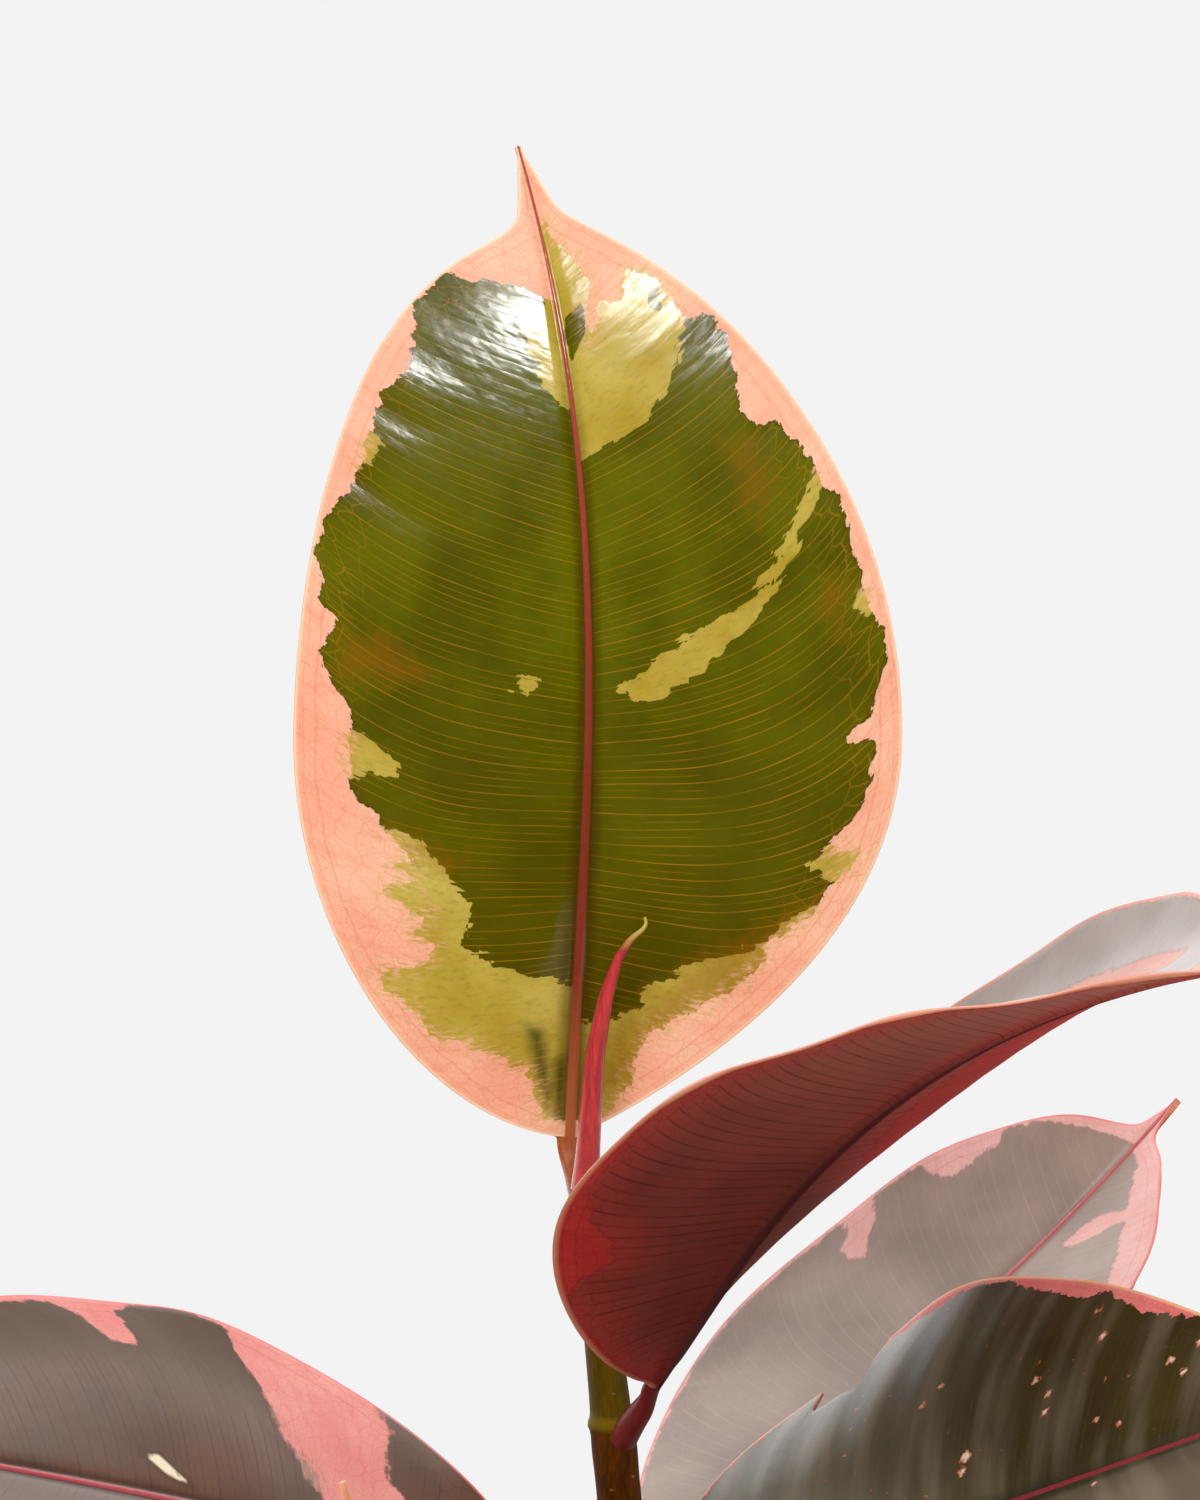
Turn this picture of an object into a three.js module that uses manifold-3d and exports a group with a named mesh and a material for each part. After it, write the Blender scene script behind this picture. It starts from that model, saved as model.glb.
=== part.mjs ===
import * as THREE from 'three';
import { mergeVertices } from 'three/addons/utils/BufferGeometryUtils.js';
import Module from 'manifold-3d';

// A ruby rubber plant in a plain clay pot. Millimetres, +Z up, the origin at the middle of the pot's base.
// The front of the plant faces -Y.

const gap = 0.3;                    // clear space between touching pieces
const degree = Math.PI / 180;

const pot = {
  height: 132, baseRadius: 50, topRadius: 70.5, wall: 6, floor: 8, footBevel: 2,
  bandHeight: 28, bandStep: 4.5, bandBevel: 1.5, lipRadius: 3, innerFillet: 6,
  holeRadius: 4.5, holeCircle: 24, holes: 4, sides: 48,
};
const soil = { edgeHeight: 117, middleHeight: 118, waves: 1.2, rings: 5, sides: 40 };
const stem = {
  foot: [0, 0, 60], ground: [0, 0, 118], bend: [-2.5, 0, 215], top: [-12, -0.5, 286],
  radii: [5.2, 4.6, 3.7, 2.3], footRadius: 4.6, scarRise: 3.3, scarHalf: 1.3, scarSwell: 0.45, sides: 12, rows: 12,
};
const blade = {
  thickness: 0.8, ribDepth: 1.5, ribHalf: 1.5, ribTipDepth: 0.25, ribTipHalf: 0.35,
  outline: [0.42, 0.91, 0.95, 0.78, 0.49], across: [0.55, 1], shoulder: 0.15,
  stalkRadius: 1.8, stalkFoot: 0.25, stalkDrop: 0.6, stalkRise: 0.9, stalkRows: 6,
};

// Places along a blade, from its base at 0 to its tip at 1, where a section stands.
const bladeRows = [
  0.006, 0.02, 0.045, 0.08, 0.13, 0.19, 0.26, 0.34, 0.42, 0.5, 0.58, 0.66, 0.73, 0.79, 0.84, 0.875, 0.905, 0.93,
  0.96, 1,
];

// A leaf's spine is a cubic curve from the blade's base to its tip, and face is the way its upper side looks,
// at the base, the middle and the tip. Each half has its width, its fold up from the midrib in degrees, its
// curl in degrees per millimetre and its outline: the widest place, the end of the round part, the width of
// the drip tip, and the powers of the base and the shoulder. node is where its stalk leaves the stem.
const shownLeaves = {
  leaf_01: {
    node: 281, stalkRadius: 1.35, across: [0.33, 0.67, 1],
    spine: [[-14.3, 7, 293.7], [-12.3, 3.1, 343.9], [-6, 6.1, 388.1], [-22.6, 27.9, 447.2]],
    face: [[0, -1, 0], [0, -1, 0.05], [0, -1, 0.3]],
    left: { half: 44.5, fold: [8, 6, 4], curl: [-0.1, -0.1], outline: [0.39, 0.907, 0.83, 0.57, 0.46] },
    right: { half: 47.4, fold: [8, 6, 4], curl: [-0.1, -0.1], outline: [0.39, 0.926, 0.89, 0.92, 0.88] },
  },
  leaf_02: {
    node: 248.5, stalkRadius: 1.5, across: [0.33, 0.67, 1],
    spine: [[-1.9, -7.9, 259], [6.9, -17, 272.6], [23.7, -54.7, 317.6], [73, -110.9, 326.8]],
    face: [[-0.19, -0.26, 0.93], [0.04, 0.29, 0.99], [0.01, -0.33, 0.97]],
    left: { half: 40, fold: [14.4, -32.1, 11.6], curl: [1.84, 2.32] },
    right: { half: 40, fold: [14.9, -6.3, 6.5], curl: [0, 0] },
  },
  leaf_03: {
    node: 219,
    spine: [[-20.2, -15, 231.2], [-59.4, -25.1, 241], [-47.2, -45, 246], [-150.1, -47.1, 263.1]],
    face: [[0.08, -0.66, 0.96], [0.08, -0.54, 1.03], [-0.19, -0.48, 1.06]],
    left: { half: 42, fold: [10, 8, 4], curl: [-0.1, -0.1] },
    right: { half: 42, fold: [13, 6, 0], curl: [-0.13, -0.28] },
  },
  leaf_04: {
    node: 204,
    spine: [[-0.7, 26.2, 223.1], [25.4, 47.5, 242.3], [56, 69.2, 259.1], [87.2, 76.2, 293.9]],
    face: [[-0.4, -0.38, 0.52], [-0.39, -0.45, 0.53], [-0.51, -0.44, 0.45]],
    left: { half: 36.3, fold: [0, 2, 24], curl: [0, 0], outline: [0.44, 0.93, 0.95, 0.78, 0.52] },
    right: { half: 38, fold: [0, 4, 24], curl: [0, 0], outline: [0.44, 0.93, 0.95, 0.78, 0.52] },
  },
  leaf_05: {
    node: 190,
    spine: [[-1.6, -15.8, 228.3], [29.9, -42.7, 239.2], [57.9, -59.9, 255.6], [96.9, -80.5, 272.7]],
    face: [[-0.25, -0.61, 0.78], [0.15, -0.76, 0.49], [0.18, -0.54, 0.74]],
    left: { half: 40.9, fold: [18.4, 17.5, 11.3], curl: [-1.41, 0.2], outline: [0.3, 0.89, 0.97, 0.48, 0.9] },
    right: { half: 40, fold: [10, 8, 4], curl: [-0.1, -0.1], outline: [0.44, 0.91, 0.95, 0.6, 0.49] },
  },
  leaf_08: {
    node: 152,
    spine: [[-9, -30, 168], [-17, -66, 186], [-33, -93, 222], [-42.2, -95, 259.6]],
    face: [[0.35, 0.7, 0.9], [0.35, 0.75, 0.6], [0.35, 0.75, 0.3]],
    left: { half: 34, fold: [10, 8, 4], curl: [-0.1, -0.1] },
    right: { half: 34, fold: [10, 8, 4], curl: [-0.1, -0.1] },
  },
};

// The lower leaves arch out by a rule: azimuth seen from above, stalk length and climb, blade length, its
// climb at the base and at the tip in degrees, half its width, and its roll about the spine.
const archedLeaves = {
  leaf_06: { node: 176, azimuth: 150, stalk: 34, climb: 35, length: 138, rise: 20, droop: -20, half: 42, roll: 0.1 },
  leaf_07: { node: 163, azimuth: 12, stalk: 36, climb: 30, length: 145, rise: 14, droop: -24, half: 43, roll: -0.1 },
  leaf_09: { node: 142, azimuth: 95, stalk: 34, climb: 26, length: 140, rise: 14, droop: -26, half: 42, roll: 0.15 },
  leaf_10: { node: 133, azimuth: -38, stalk: 36, climb: 24, length: 140, rise: 12, droop: -26, half: 42, roll: -0.1 },
  leaf_11: { node: 126, azimuth: -178, stalk: 34, climb: 24, length: 134, rise: 12, droop: -28, half: 40, roll: 0.1 },
};

// The crimson sheath that wraps the growing tip: points on its middle line and its radius at each.
const sheath = {
  path: [
    [-12, -0.8, 286.65], [-11.6, -1.4, 291.5], [-11.3, -1.9, 296], [-10.5, -2.5, 307], [-8.9, -3, 315.6],
    [-7, -3.4, 321.5], [-5.1, -3.6, 324.4], [-3.2, -3.7, 325.7], [-2.5, -3.7, 326.6], [-2.9, -3.7, 327.5],
  ],
  radii: [2.15, 1.88, 1.74, 1.5, 1.2, 0.85, 0.6, 0.42, 0.36, 0.3],
  sides: 10,
};

const colours = {
  clay: 0xb4633c, earth: 0x2e2018, bark: 0x5a5020, green: 0x4d5a18, maroon: 0x5a2420, crimson: 0xa02c38,
};

const wasm = await Module();
wasm.setup();

function finish(colour, roughness) {
  return new THREE.MeshStandardMaterial({ color: colour, roughness, metalness: 0 });
}

function vector(point) {
  return new THREE.Vector3(...point);
}

// The Bernstein blend of a short list of numbers, from its first value at 0 to its last at 1.
function along(values, s) {
  let list = values;
  while (list.length > 1) {
    list = list.slice(1).map((value, i) => list[i] + (value - list[i]) * s);
  }
  return list[0];
}

// Closed rings of equal point count, joined in order and capped at both ends. The quads past halfway round
// a ring take the other diagonal, so that the two faces of a thin blade are split alike.
function loft(rings) {
  const count = rings[0].length;
  const points = rings.flat();
  const start = rings[0].reduce((sum, p) => sum.add(p), new THREE.Vector3()).divideScalar(count);
  const last = rings.at(-1);
  const end = last.reduce((sum, p) => sum.add(p), new THREE.Vector3()).divideScalar(count);
  const index = [];
  for (let i = 0; i < rings.length - 1; i++) {
    for (let j = 0; j < count; j++) {
      const a = i * count + j;
      const b = i * count + (j + 1) % count;
      const c = b + count;
      const d = a + count;
      if (j < count / 2) {
        index.push(a, b, c, a, c, d);
      } else {
        index.push(a, b, d, b, c, d);
      }
    }
  }
  const top = (rings.length - 1) * count;
  for (let j = 0; j < count; j++) {
    const next = (j + 1) % count;
    index.push(points.length, next, j);
    index.push(points.length + 1, top + j, top + next);
  }
  const geometry = new THREE.BufferGeometry().setFromPoints([...points, start, end]);
  geometry.setIndex(index);
  return geometry;
}

function ring(centre, across, up, radius, sides, start = 0, turn = 1) {
  const points = [];
  for (let i = 0; i < sides; i++) {
    const angle = start + turn * 2 * Math.PI * i / sides;
    points.push(centre.clone()
      .addScaledVector(across, radius * Math.cos(angle))
      .addScaledVector(up, radius * Math.sin(angle)));
  }
  return points;
}

function solid(geometry) {
  const bare = geometry.clone();
  bare.deleteAttribute('normal');
  bare.deleteAttribute('uv');
  const merged = mergeVertices(bare, 1e-4);
  const mesh = new wasm.Mesh({
    numProp: 3,
    vertProperties: new Float32Array(merged.attributes.position.array),
    triVerts: new Uint32Array(merged.index.array),
  });
  mesh.merge();
  return new wasm.Manifold(mesh);
}

function geometryOf(manifold) {
  const mesh = manifold.getMesh();
  const geometry = new THREE.BufferGeometry();
  geometry.setAttribute('position', new THREE.BufferAttribute(mesh.vertProperties, 3));
  geometry.setIndex(new THREE.BufferAttribute(mesh.triVerts, 1));
  return geometry;
}

function lathe(profile, sides) {
  const geometry = new THREE.LatheGeometry(profile.map(([r, z]) => new THREE.Vector2(r, z)), sides);
  geometry.rotateX(Math.PI / 2);
  geometry.deleteAttribute('normal');
  geometry.deleteAttribute('uv');
  return mergeVertices(geometry, 1e-3);
}

// The pot's outside and inside radii at a height.
function outerRadius(z) {
  return pot.baseRadius + (pot.topRadius - pot.baseRadius) * z / pot.height;
}

function innerRadius(z) {
  return outerRadius(z) - pot.wall;
}

function potGeometry() {
  const { height, bandHeight, bandStep, bandBevel, lipRadius, footBevel, floor, innerFillet } = pot;
  const bandFoot = height - bandHeight;
  const bandRadius = outerRadius(height) + bandStep;
  const profile = [
    [0, 0],
    [pot.baseRadius - footBevel, 0],
    [outerRadius(footBevel), footBevel],
    [outerRadius(bandFoot), bandFoot],
    [outerRadius(bandFoot) + bandStep - bandBevel, bandFoot],
    [outerRadius(bandFoot) + bandStep, bandFoot + bandBevel],
    [bandRadius, height - lipRadius],
    [bandRadius - lipRadius * 0.3, height - lipRadius * 0.3],
    [bandRadius - lipRadius, height],
    [innerRadius(height) + lipRadius, height],
    [innerRadius(height) + lipRadius * 0.3, height - lipRadius * 0.3],
    [innerRadius(height), height - lipRadius],
    [innerRadius(floor + innerFillet), floor + innerFillet],
    [innerRadius(floor) - innerFillet, floor],
    [0, floor],
  ];
  let body = solid(lathe(profile, pot.sides));
  for (let i = 0; i < pot.holes; i++) {
    const angle = 2 * Math.PI * (i + 0.5) / pot.holes;
    const hole = new THREE.CylinderGeometry(pot.holeRadius, pot.holeRadius, 3 * pot.floor, 16);
    hole.rotateX(Math.PI / 2);
    hole.translate(pot.holeCircle * Math.cos(angle), pot.holeCircle * Math.sin(angle), 0);
    body = body.subtract(solid(hole));
  }
  return geometryOf(body);
}

// Soil fills the pot, with a plain hole for the stem and a gently uneven top.
function soilGeometry() {
  const hole = stem.radii[0] + gap;
  const lowest = pot.floor + gap;
  const edge = innerRadius(soil.edgeHeight) - gap;
  const profile = [
    [0, lowest],
    [innerRadius(lowest) - pot.innerFillet - gap, lowest],
    [innerRadius(pot.floor + pot.innerFillet) - gap, pot.floor + pot.innerFillet + gap],
    [edge, soil.edgeHeight],
  ];
  for (let i = 1; i <= soil.rings; i++) {
    const t = i / soil.rings;
    const rise = (soil.middleHeight - soil.edgeHeight) * Math.sin(t * Math.PI / 2);
    profile.push([edge + (hole - edge) * t, soil.edgeHeight + rise]);
  }
  profile.push([hole, stem.foot[2] - gap], [0, stem.foot[2] - gap]);
  const geometry = lathe(profile, soil.sides);
  const position = geometry.attributes.position;
  for (let i = 0; i < position.count; i++) {
    const x = position.getX(i);
    const y = position.getY(i);
    const inside = 1 - (Math.hypot(x, y) / edge) ** 6;
    if (position.getZ(i) >= soil.edgeHeight - 1 && Math.hypot(x, y) > hole + 1) {
      const wave = Math.sin(x / 9 + 1.3) * Math.cos(y / 11) + 0.6 * Math.sin(x / 5 - y / 6);
      position.setZ(i, position.getZ(i) + soil.waves * inside * wave);
    }
  }
  return geometry;
}

const stemCurve = new THREE.QuadraticBezierCurve3(vector(stem.ground), vector(stem.bend), vector(stem.top));

// How far up the stem's curve a height above the soil lies, from 0 to 1.
function stemPlace(z) {
  let low = 0;
  let high = 1;
  for (let i = 0; i < 40; i++) {
    const middle = (low + high) / 2;
    if (stemCurve.getPoint(middle).z < z) {
      low = middle;
    } else {
      high = middle;
    }
  }
  return (low + high) / 2;
}

// The stem, grown thicker by extra, with a raised ring where each leaf's sheath has fallen.
function stemGeometry(nodes, extra) {
  const span = stem.top[2] - stem.ground[2];
  const plain = [];
  for (let i = 0; i < stem.rows; i++) {
    plain.push([stem.ground[2] + span * i / stem.rows, 0]);
  }
  const scars = nodes.map((node) => node + stem.scarRise);
  const clear = plain.filter(([z]) => scars.every((scar) => Math.abs(z - scar) > 2 * stem.scarHalf));
  const rings = scars.flatMap((scar) => [
    [scar - stem.scarHalf, 0], [scar, stem.scarSwell], [scar + stem.scarHalf, 0],
  ]).filter(([z]) => z < stem.top[2] - stem.scarHalf);
  const rows = [...clear, ...rings, [stem.top[2], 0]].sort((a, b) => a[0] - b[0]);
  const across = new THREE.Vector3(1, 0, 0);
  const front = new THREE.Vector3(0, 1, 0);
  const sections = [ring(vector(stem.foot), across, front, stem.footRadius + extra, stem.sides)];
  for (const [z, swell] of rows) {
    const centre = stemCurve.getPoint(stemPlace(z));
    const radius = along(stem.radii, (z - stem.ground[2]) / span) + swell + extra;
    sections.push(ring(centre, across, front, radius, stem.sides));
  }
  return loft(sections);
}

function unit(v) {
  return v.clone().normalize();
}

// The way an arched leaf runs at a climb, in degrees.
function heading(azimuth, climb) {
  return new THREE.Vector3(
    Math.cos(azimuth * degree) * Math.cos(climb * degree),
    Math.sin(azimuth * degree) * Math.cos(climb * degree),
    Math.sin(climb * degree),
  );
}

function archedLeaf({ node, azimuth, stalk, climb, length, rise, droop, half, roll }) {
  const base = stemCurve.getPoint(stemPlace(node)).addScaledVector(heading(azimuth, climb), stalk);
  const spine = [base];
  for (const part of [rise, (rise + droop) / 2, droop]) {
    spine.push(spine.at(-1).clone().addScaledVector(heading(azimuth, part), length / 3));
  }
  const face = [Math.sin(azimuth * degree) * roll, -Math.cos(azimuth * degree) * roll, 1];
  const side = { half, fold: [12, 9, 4], curl: [-0.15, -0.2] };
  return { node, spine: spine.map((p) => p.toArray()), face: [face, face, face], left: side, right: side };
}

// Half the blade's width at s, as a share of its greatest: a round part and a drip tip.
function widthAt(s, [widest, end, drip, basePower, tipPower]) {
  const u = s < widest ? (widest - s) / widest : (s - widest) / (end - widest);
  const round = Math.max(1 - Math.min(u, 1) ** 2, 0) ** (s < widest ? basePower : tipPower);
  const tip = drip * (1 - s) * THREE.MathUtils.smoothstep(s, 0.6, 0.85);
  return (round ** 2.5 + tip ** 2.5) ** 0.4;
}

// A point at distance d out from the midrib, sideways and up, on a half that folds and curls.
function acrossHalf(d, fold, curl) {
  const bend = Math.abs(curl) < 1e-6 ? 1e-6 : curl;
  const angle = fold + bend * d;
  return {
    sideways: (Math.sin(angle) - Math.sin(fold)) / bend,
    up: (Math.cos(fold) - Math.cos(angle)) / bend,
    angle,
  };
}

// One section of the blade: the upper points from the left edge to the right, then the under side's back.
function bladeRing(leaf, frame, s) {
  const shares = leaf.across ?? blade.across;
  const taper = 1 - s;
  const ribHalf = blade.ribTipHalf + (blade.ribHalf - blade.ribTipHalf) * taper;
  const ribDepth = blade.ribTipDepth + (blade.ribDepth - blade.ribTipDepth) * taper;
  const upper = [];
  const under = [];
  const place = (sign, distance, depth) => {
    const half = sign < 0 ? leaf.left : leaf.right;
    const curl = along(half.curl, s) * degree;
    const fold = along(half.fold, s) * degree;
    const { sideways, up, angle } = acrossHalf(distance, fold, curl);
    const point = frame.centre.clone()
      .addScaledVector(frame.side, sign * sideways)
      .addScaledVector(frame.normal, up);
    const inward = frame.side.clone().multiplyScalar(sign * Math.sin(angle))
      .addScaledVector(frame.normal, -Math.cos(angle));
    upper.push(point);
    under.unshift(point.clone().addScaledVector(inward, depth));
  };
  const reach = (sign, share) => {
    const half = sign < 0 ? leaf.left : leaf.right;
    const width = half.half * widthAt(s, half.outline ?? blade.outline);
    return Math.max(share * width, ribHalf * (1 + blade.shoulder * share));
  };
  for (const share of [...shares].reverse()) {
    place(-1, reach(-1, share), blade.thickness);
  }
  place(-1, ribHalf, blade.thickness);
  upper.push(frame.centre.clone());
  under.unshift(frame.centre.clone().addScaledVector(frame.normal, -blade.thickness - ribDepth));
  place(1, ribHalf, blade.thickness);
  for (const share of shares) {
    place(1, reach(1, share), blade.thickness);
  }
  return [...upper, ...under];
}

// The stalk's sections carry the blade's first side vector back along the stalk, so that they don't twist.
function stalkRings(leaf, first) {
  const root = stemCurve.getPoint(stemPlace(leaf.node));
  const base = vector(leaf.spine[0]);
  const reach = root.distanceTo(base) / 3;
  const leaving = unit(new THREE.Vector3(base.x - root.x, base.y - root.y, 0));
  leaving.z = blade.stalkRise;
  const stalk = new THREE.CubicBezierCurve3(
    root,
    root.clone().addScaledVector(unit(leaving), reach),
    base.clone().addScaledVector(first.tangent, -reach),
    base,
  );
  const count = 4 * (leaf.across ?? blade.across).length + 6;
  const radius = leaf.stalkRadius ?? blade.stalkRadius;
  const rings = [];
  let side = first.side;
  for (let i = blade.stalkRows; i >= 0; i--) {
    const t = i / blade.stalkRows;
    const tangent = stalk.getTangent(t);
    side = unit(side.clone().addScaledVector(tangent, -side.dot(tangent)));
    const normal = new THREE.Vector3().crossVectors(side, tangent);
    const centre = stalk.getPoint(t).addScaledVector(first.normal, -blade.stalkDrop * radius * t);
    const size = radius * (1 + blade.stalkFoot * (1 - t) ** 2);
    rings.unshift(ring(centre, side, normal, size, count, Math.PI * (1 - 1 / count), -1));
  }
  return rings;
}

// A leaf is one body: stalk, midrib and blade.
function leafGeometry(leaf) {
  const spine = new THREE.CubicBezierCurve3(...leaf.spine.map(vector));
  const face = new THREE.QuadraticBezierCurve3(...leaf.face.map(vector));
  const frameAt = (s) => {
    const tangent = spine.getTangentAt(s);
    const look = face.getPoint(s);
    const normal = unit(look.addScaledVector(tangent, -look.dot(tangent)));
    return { centre: spine.getPointAt(s), tangent, normal, side: new THREE.Vector3().crossVectors(tangent, normal) };
  };
  const rings = stalkRings(leaf, frameAt(0));
  for (const s of bladeRows) {
    rings.push(bladeRing(leaf, frameAt(s), s));
  }
  return loft(rings);
}

function sheathGeometry() {
  const path = sheath.path.map(vector);
  const rings = path.map((centre, i) => {
    const tangent = unit(path[Math.min(i + 1, path.length - 1)].clone().sub(path[Math.max(i - 1, 0)]));
    const across = unit(new THREE.Vector3(1, 0, 0).addScaledVector(tangent, -tangent.x));
    const up = new THREE.Vector3().crossVectors(tangent, across);
    return ring(centre, across, up, sheath.radii[i], sheath.sides);
  });
  return loft(rings);
}

const leaves = { ...shownLeaves };
for (const [name, leaf] of Object.entries(archedLeaves)) {
  leaves[name] = archedLeaf(leaf);
}
const nodes = Object.values(leaves).map((leaf) => leaf.node);

const plant = new THREE.Group();
function add(name, geometry, material) {
  const mesh = new THREE.Mesh(geometry, material);
  mesh.name = name;
  plant.add(mesh);
}

add('pot', potGeometry(), finish(colours.clay, 0.85));
add('soil', soilGeometry(), finish(colours.earth, 1));
add('stem', stemGeometry(nodes, 0), finish(colours.bark, 0.6));
add('bud_sheath', sheathGeometry(), finish(colours.crimson, 0.4));

const clearance = solid(stemGeometry(nodes, gap));
for (const name of Object.keys(leaves).sort()) {
  const whole = solid(leafGeometry(leaves[name]));
  const colour = name === 'leaf_02' ? colours.maroon : colours.green;
  add(name, geometryOf(whole.subtract(clearance)), finish(colour, 0.35));
}

export default plant;
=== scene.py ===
import math
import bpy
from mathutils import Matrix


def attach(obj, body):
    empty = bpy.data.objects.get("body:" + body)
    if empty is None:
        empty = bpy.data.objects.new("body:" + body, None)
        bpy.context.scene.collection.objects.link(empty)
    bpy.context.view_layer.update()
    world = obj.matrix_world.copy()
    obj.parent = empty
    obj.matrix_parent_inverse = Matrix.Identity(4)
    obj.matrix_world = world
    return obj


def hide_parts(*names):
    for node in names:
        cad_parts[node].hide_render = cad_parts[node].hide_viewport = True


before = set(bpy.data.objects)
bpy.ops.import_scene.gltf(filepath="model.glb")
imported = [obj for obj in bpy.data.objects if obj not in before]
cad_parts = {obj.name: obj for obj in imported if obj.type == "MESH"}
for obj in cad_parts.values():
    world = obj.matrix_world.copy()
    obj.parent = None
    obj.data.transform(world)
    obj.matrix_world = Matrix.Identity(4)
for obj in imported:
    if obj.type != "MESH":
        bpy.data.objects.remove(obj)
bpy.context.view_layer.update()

from types import SimpleNamespace

import bpy
import numpy as np
from mathutils import Vector, noise as lumps

# A ruby rubber plant in a clay pot.
# Sizes are millimetres and colours are 0 to 255 unless a note says otherwise.

mm = 0.001
degree = math.pi / 180


# Small helpers

def tint(colour):
    parts = [c / 255 for c in colour]
    linear = [c / 12.92 if c <= 0.04045 else ((c + 0.055) / 1.055) ** 2.4 for c in parts]
    return (*linear, 1.0)


def unit(vectors):
    return vectors / np.linalg.norm(vectors, axis=-1, keepdims=True)


def smooth(low, high, value):
    share = np.clip((value - low) / (high - low), 0, 1)
    return share * share * (3 - 2 * share)


def along(values, s):
    # the Bernstein blend of a short list of numbers or points, at every s
    s = np.asarray(s, float)
    layers = [np.multiply.outer(np.ones_like(s), np.asarray(value, float)) for value in values]
    share = s.reshape(s.shape + (1,) * (layers[0].ndim - s.ndim))
    while len(layers) > 1:
        layers = [low + (high - low) * share for low, high in zip(layers, layers[1:])]
    return layers[0]


def addObject(name, data):
    piece = bpy.data.objects.new(name, data)
    bpy.context.scene.collection.objects.link(piece)
    return piece


def makeMesh(name, points, faces, materials, slots=None, attributes=None):
    # points in millimetres, faces as an array of quads or a list of lists
    mesh = bpy.data.meshes.new(name)
    mesh.from_pydata((np.asarray(points) * mm).tolist(), [], [list(map(int, face)) for face in faces])
    for material in materials:
        mesh.materials.append(material)
    if slots is not None:
        mesh.polygons.foreach_set("material_index", np.asarray(slots, np.int32))
    for label, values in (attributes or {}).items():
        layer = mesh.attributes.new(label, "FLOAT_VECTOR", "POINT")
        layer.data.foreach_set("vector", np.asarray(values, np.float32).ravel())
    mesh.shade_smooth()
    mesh.update()
    return addObject(name, mesh)


def evaluated(piece):
    # the mesh with the piece's modifiers applied
    graph = bpy.context.evaluated_depsgraph_get()
    return bpy.data.meshes.new_from_object(piece.evaluated_get(graph))


def flatten(piece):
    # the evaluated mesh takes the place of the piece's mesh and modifiers
    mesh = evaluated(piece)
    piece.modifiers.clear()
    piece.data = mesh


def ringFaces(rings, turned=False):
    # quads between rings of point numbers, and triangles where a ring is one point
    faces = []
    for low, high in zip(rings, rings[1:]):
        for j in range(len(low)):
            k = (j + 1) % len(low)
            corners = [low[j], high[j], high[k], low[k]] if turned else [low[j], low[k], high[k], high[j]]
            faces.append(list(dict.fromkeys(corners)))
    return faces


def around(sides):
    return np.linspace(0, 2 * math.pi, sides, endpoint=False)


def handOver(piece, slot, *nodes):
    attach(piece, "root")
    if nodes:
        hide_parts(*nodes)


# Camera, world, floor and lights

view = {"place": (-9.75, -625, 352.5), "lens": 100, "sensor": 36}
studio = {
    "backdrop": 0.896,
    "worldBack": 2.6,
    "worldFront": 0.015,
    "floorInner": 40,
    "floorRadius": 1280,
    "floorFade": 180,
    "floorRings": 12,
    "floorSides": 96,
    "floorColour": (186, 185, 183),
    "softboxes": [
        {"place": (165, -880, 1195), "size": (200, 75), "power": 4.7},
        {"place": (-150, -895, 1170), "size": (100, 65), "power": 1.2},
    ],
    "softboxAim": (0, 0, 405),
    "fillPlace": (-300, -1500, 900),
    "fillAim": (0, 0, 300),
    "fillSize": (1400, 1400),
    "fillPower": 29,
}


def put(tree, kind, values=None, **settings):
    node = tree.nodes.new(kind)
    for key, value in settings.items():
        setattr(node, key, value)
    for key, value in (values or {}).items():
        feed(tree, node.inputs[key], value)
    return node


def feed(tree, socket, value):
    if isinstance(value, bpy.types.NodeSocket):
        tree.links.new(value, socket)
    else:
        socket.default_value = value


def calc(tree, operation, first, second=0.0, third=0.0):
    node = put(tree, "ShaderNodeMath", {0: first, 1: second}, operation=operation)
    if operation in ("MULTIPLY_ADD", "SMOOTH_MIN", "SMOOTH_MAX", "COMPARE"):
        feed(tree, node.inputs[2], third)
    return node.outputs[0]


def times(tree, first, second):
    return calc(tree, "MULTIPLY", first, second)


def timesPlus(tree, first, second, third):
    return calc(tree, "MULTIPLY_ADD", first, second, third)


def divided(tree, first, second):
    return calc(tree, "DIVIDE", first, second)


def plus(tree, first, second):
    return calc(tree, "ADD", first, second)


def minus(tree, first, second):
    return calc(tree, "SUBTRACT", first, second)


def larger(tree, first, second):
    return calc(tree, "MAXIMUM", first, second)


def sizeOf(tree, value):
    return calc(tree, "ABSOLUTE", value)


def ranged(tree, value, low, high, first=0.0, last=1.0, kind="LINEAR"):
    values = {0: value, 1: low, 2: high, 3: first, 4: last}
    return put(tree, "ShaderNodeMapRange", values, interpolation_type=kind).outputs[0]


def mixed(tree, factor, under, over):
    # under and over are sockets, or colours of 0 to 255
    node = put(tree, "ShaderNodeMix", {0: factor}, data_type="RGBA")
    for socket, value in ((node.inputs[6], under), (node.inputs[7], over)):
        feed(tree, socket, tint(value) if isinstance(value, tuple) else value)
    return node.outputs[2]


def mottled(tree, value, under, over, low=0.35, high=0.65):
    return mixed(tree, ranged(tree, value, low, high), under, over)


def split(tree, vector):
    return put(tree, "ShaderNodeSeparateXYZ", {0: vector}).outputs[:3]


def joined(tree, x=0.0, y=0.0, z=0.0):
    return put(tree, "ShaderNodeCombineXYZ", {0: x, 1: y, 2: z}).outputs[0]


def noise(tree, vector, size, detail=2.0, roughness=0.5):
    # size in the vector's own units, about the width of one blotch
    values = {"Vector": vector, "Scale": 1 / size, "Detail": detail, "Roughness": roughness}
    return put(tree, "ShaderNodeTexNoise", values).outputs["Fac"]


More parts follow.
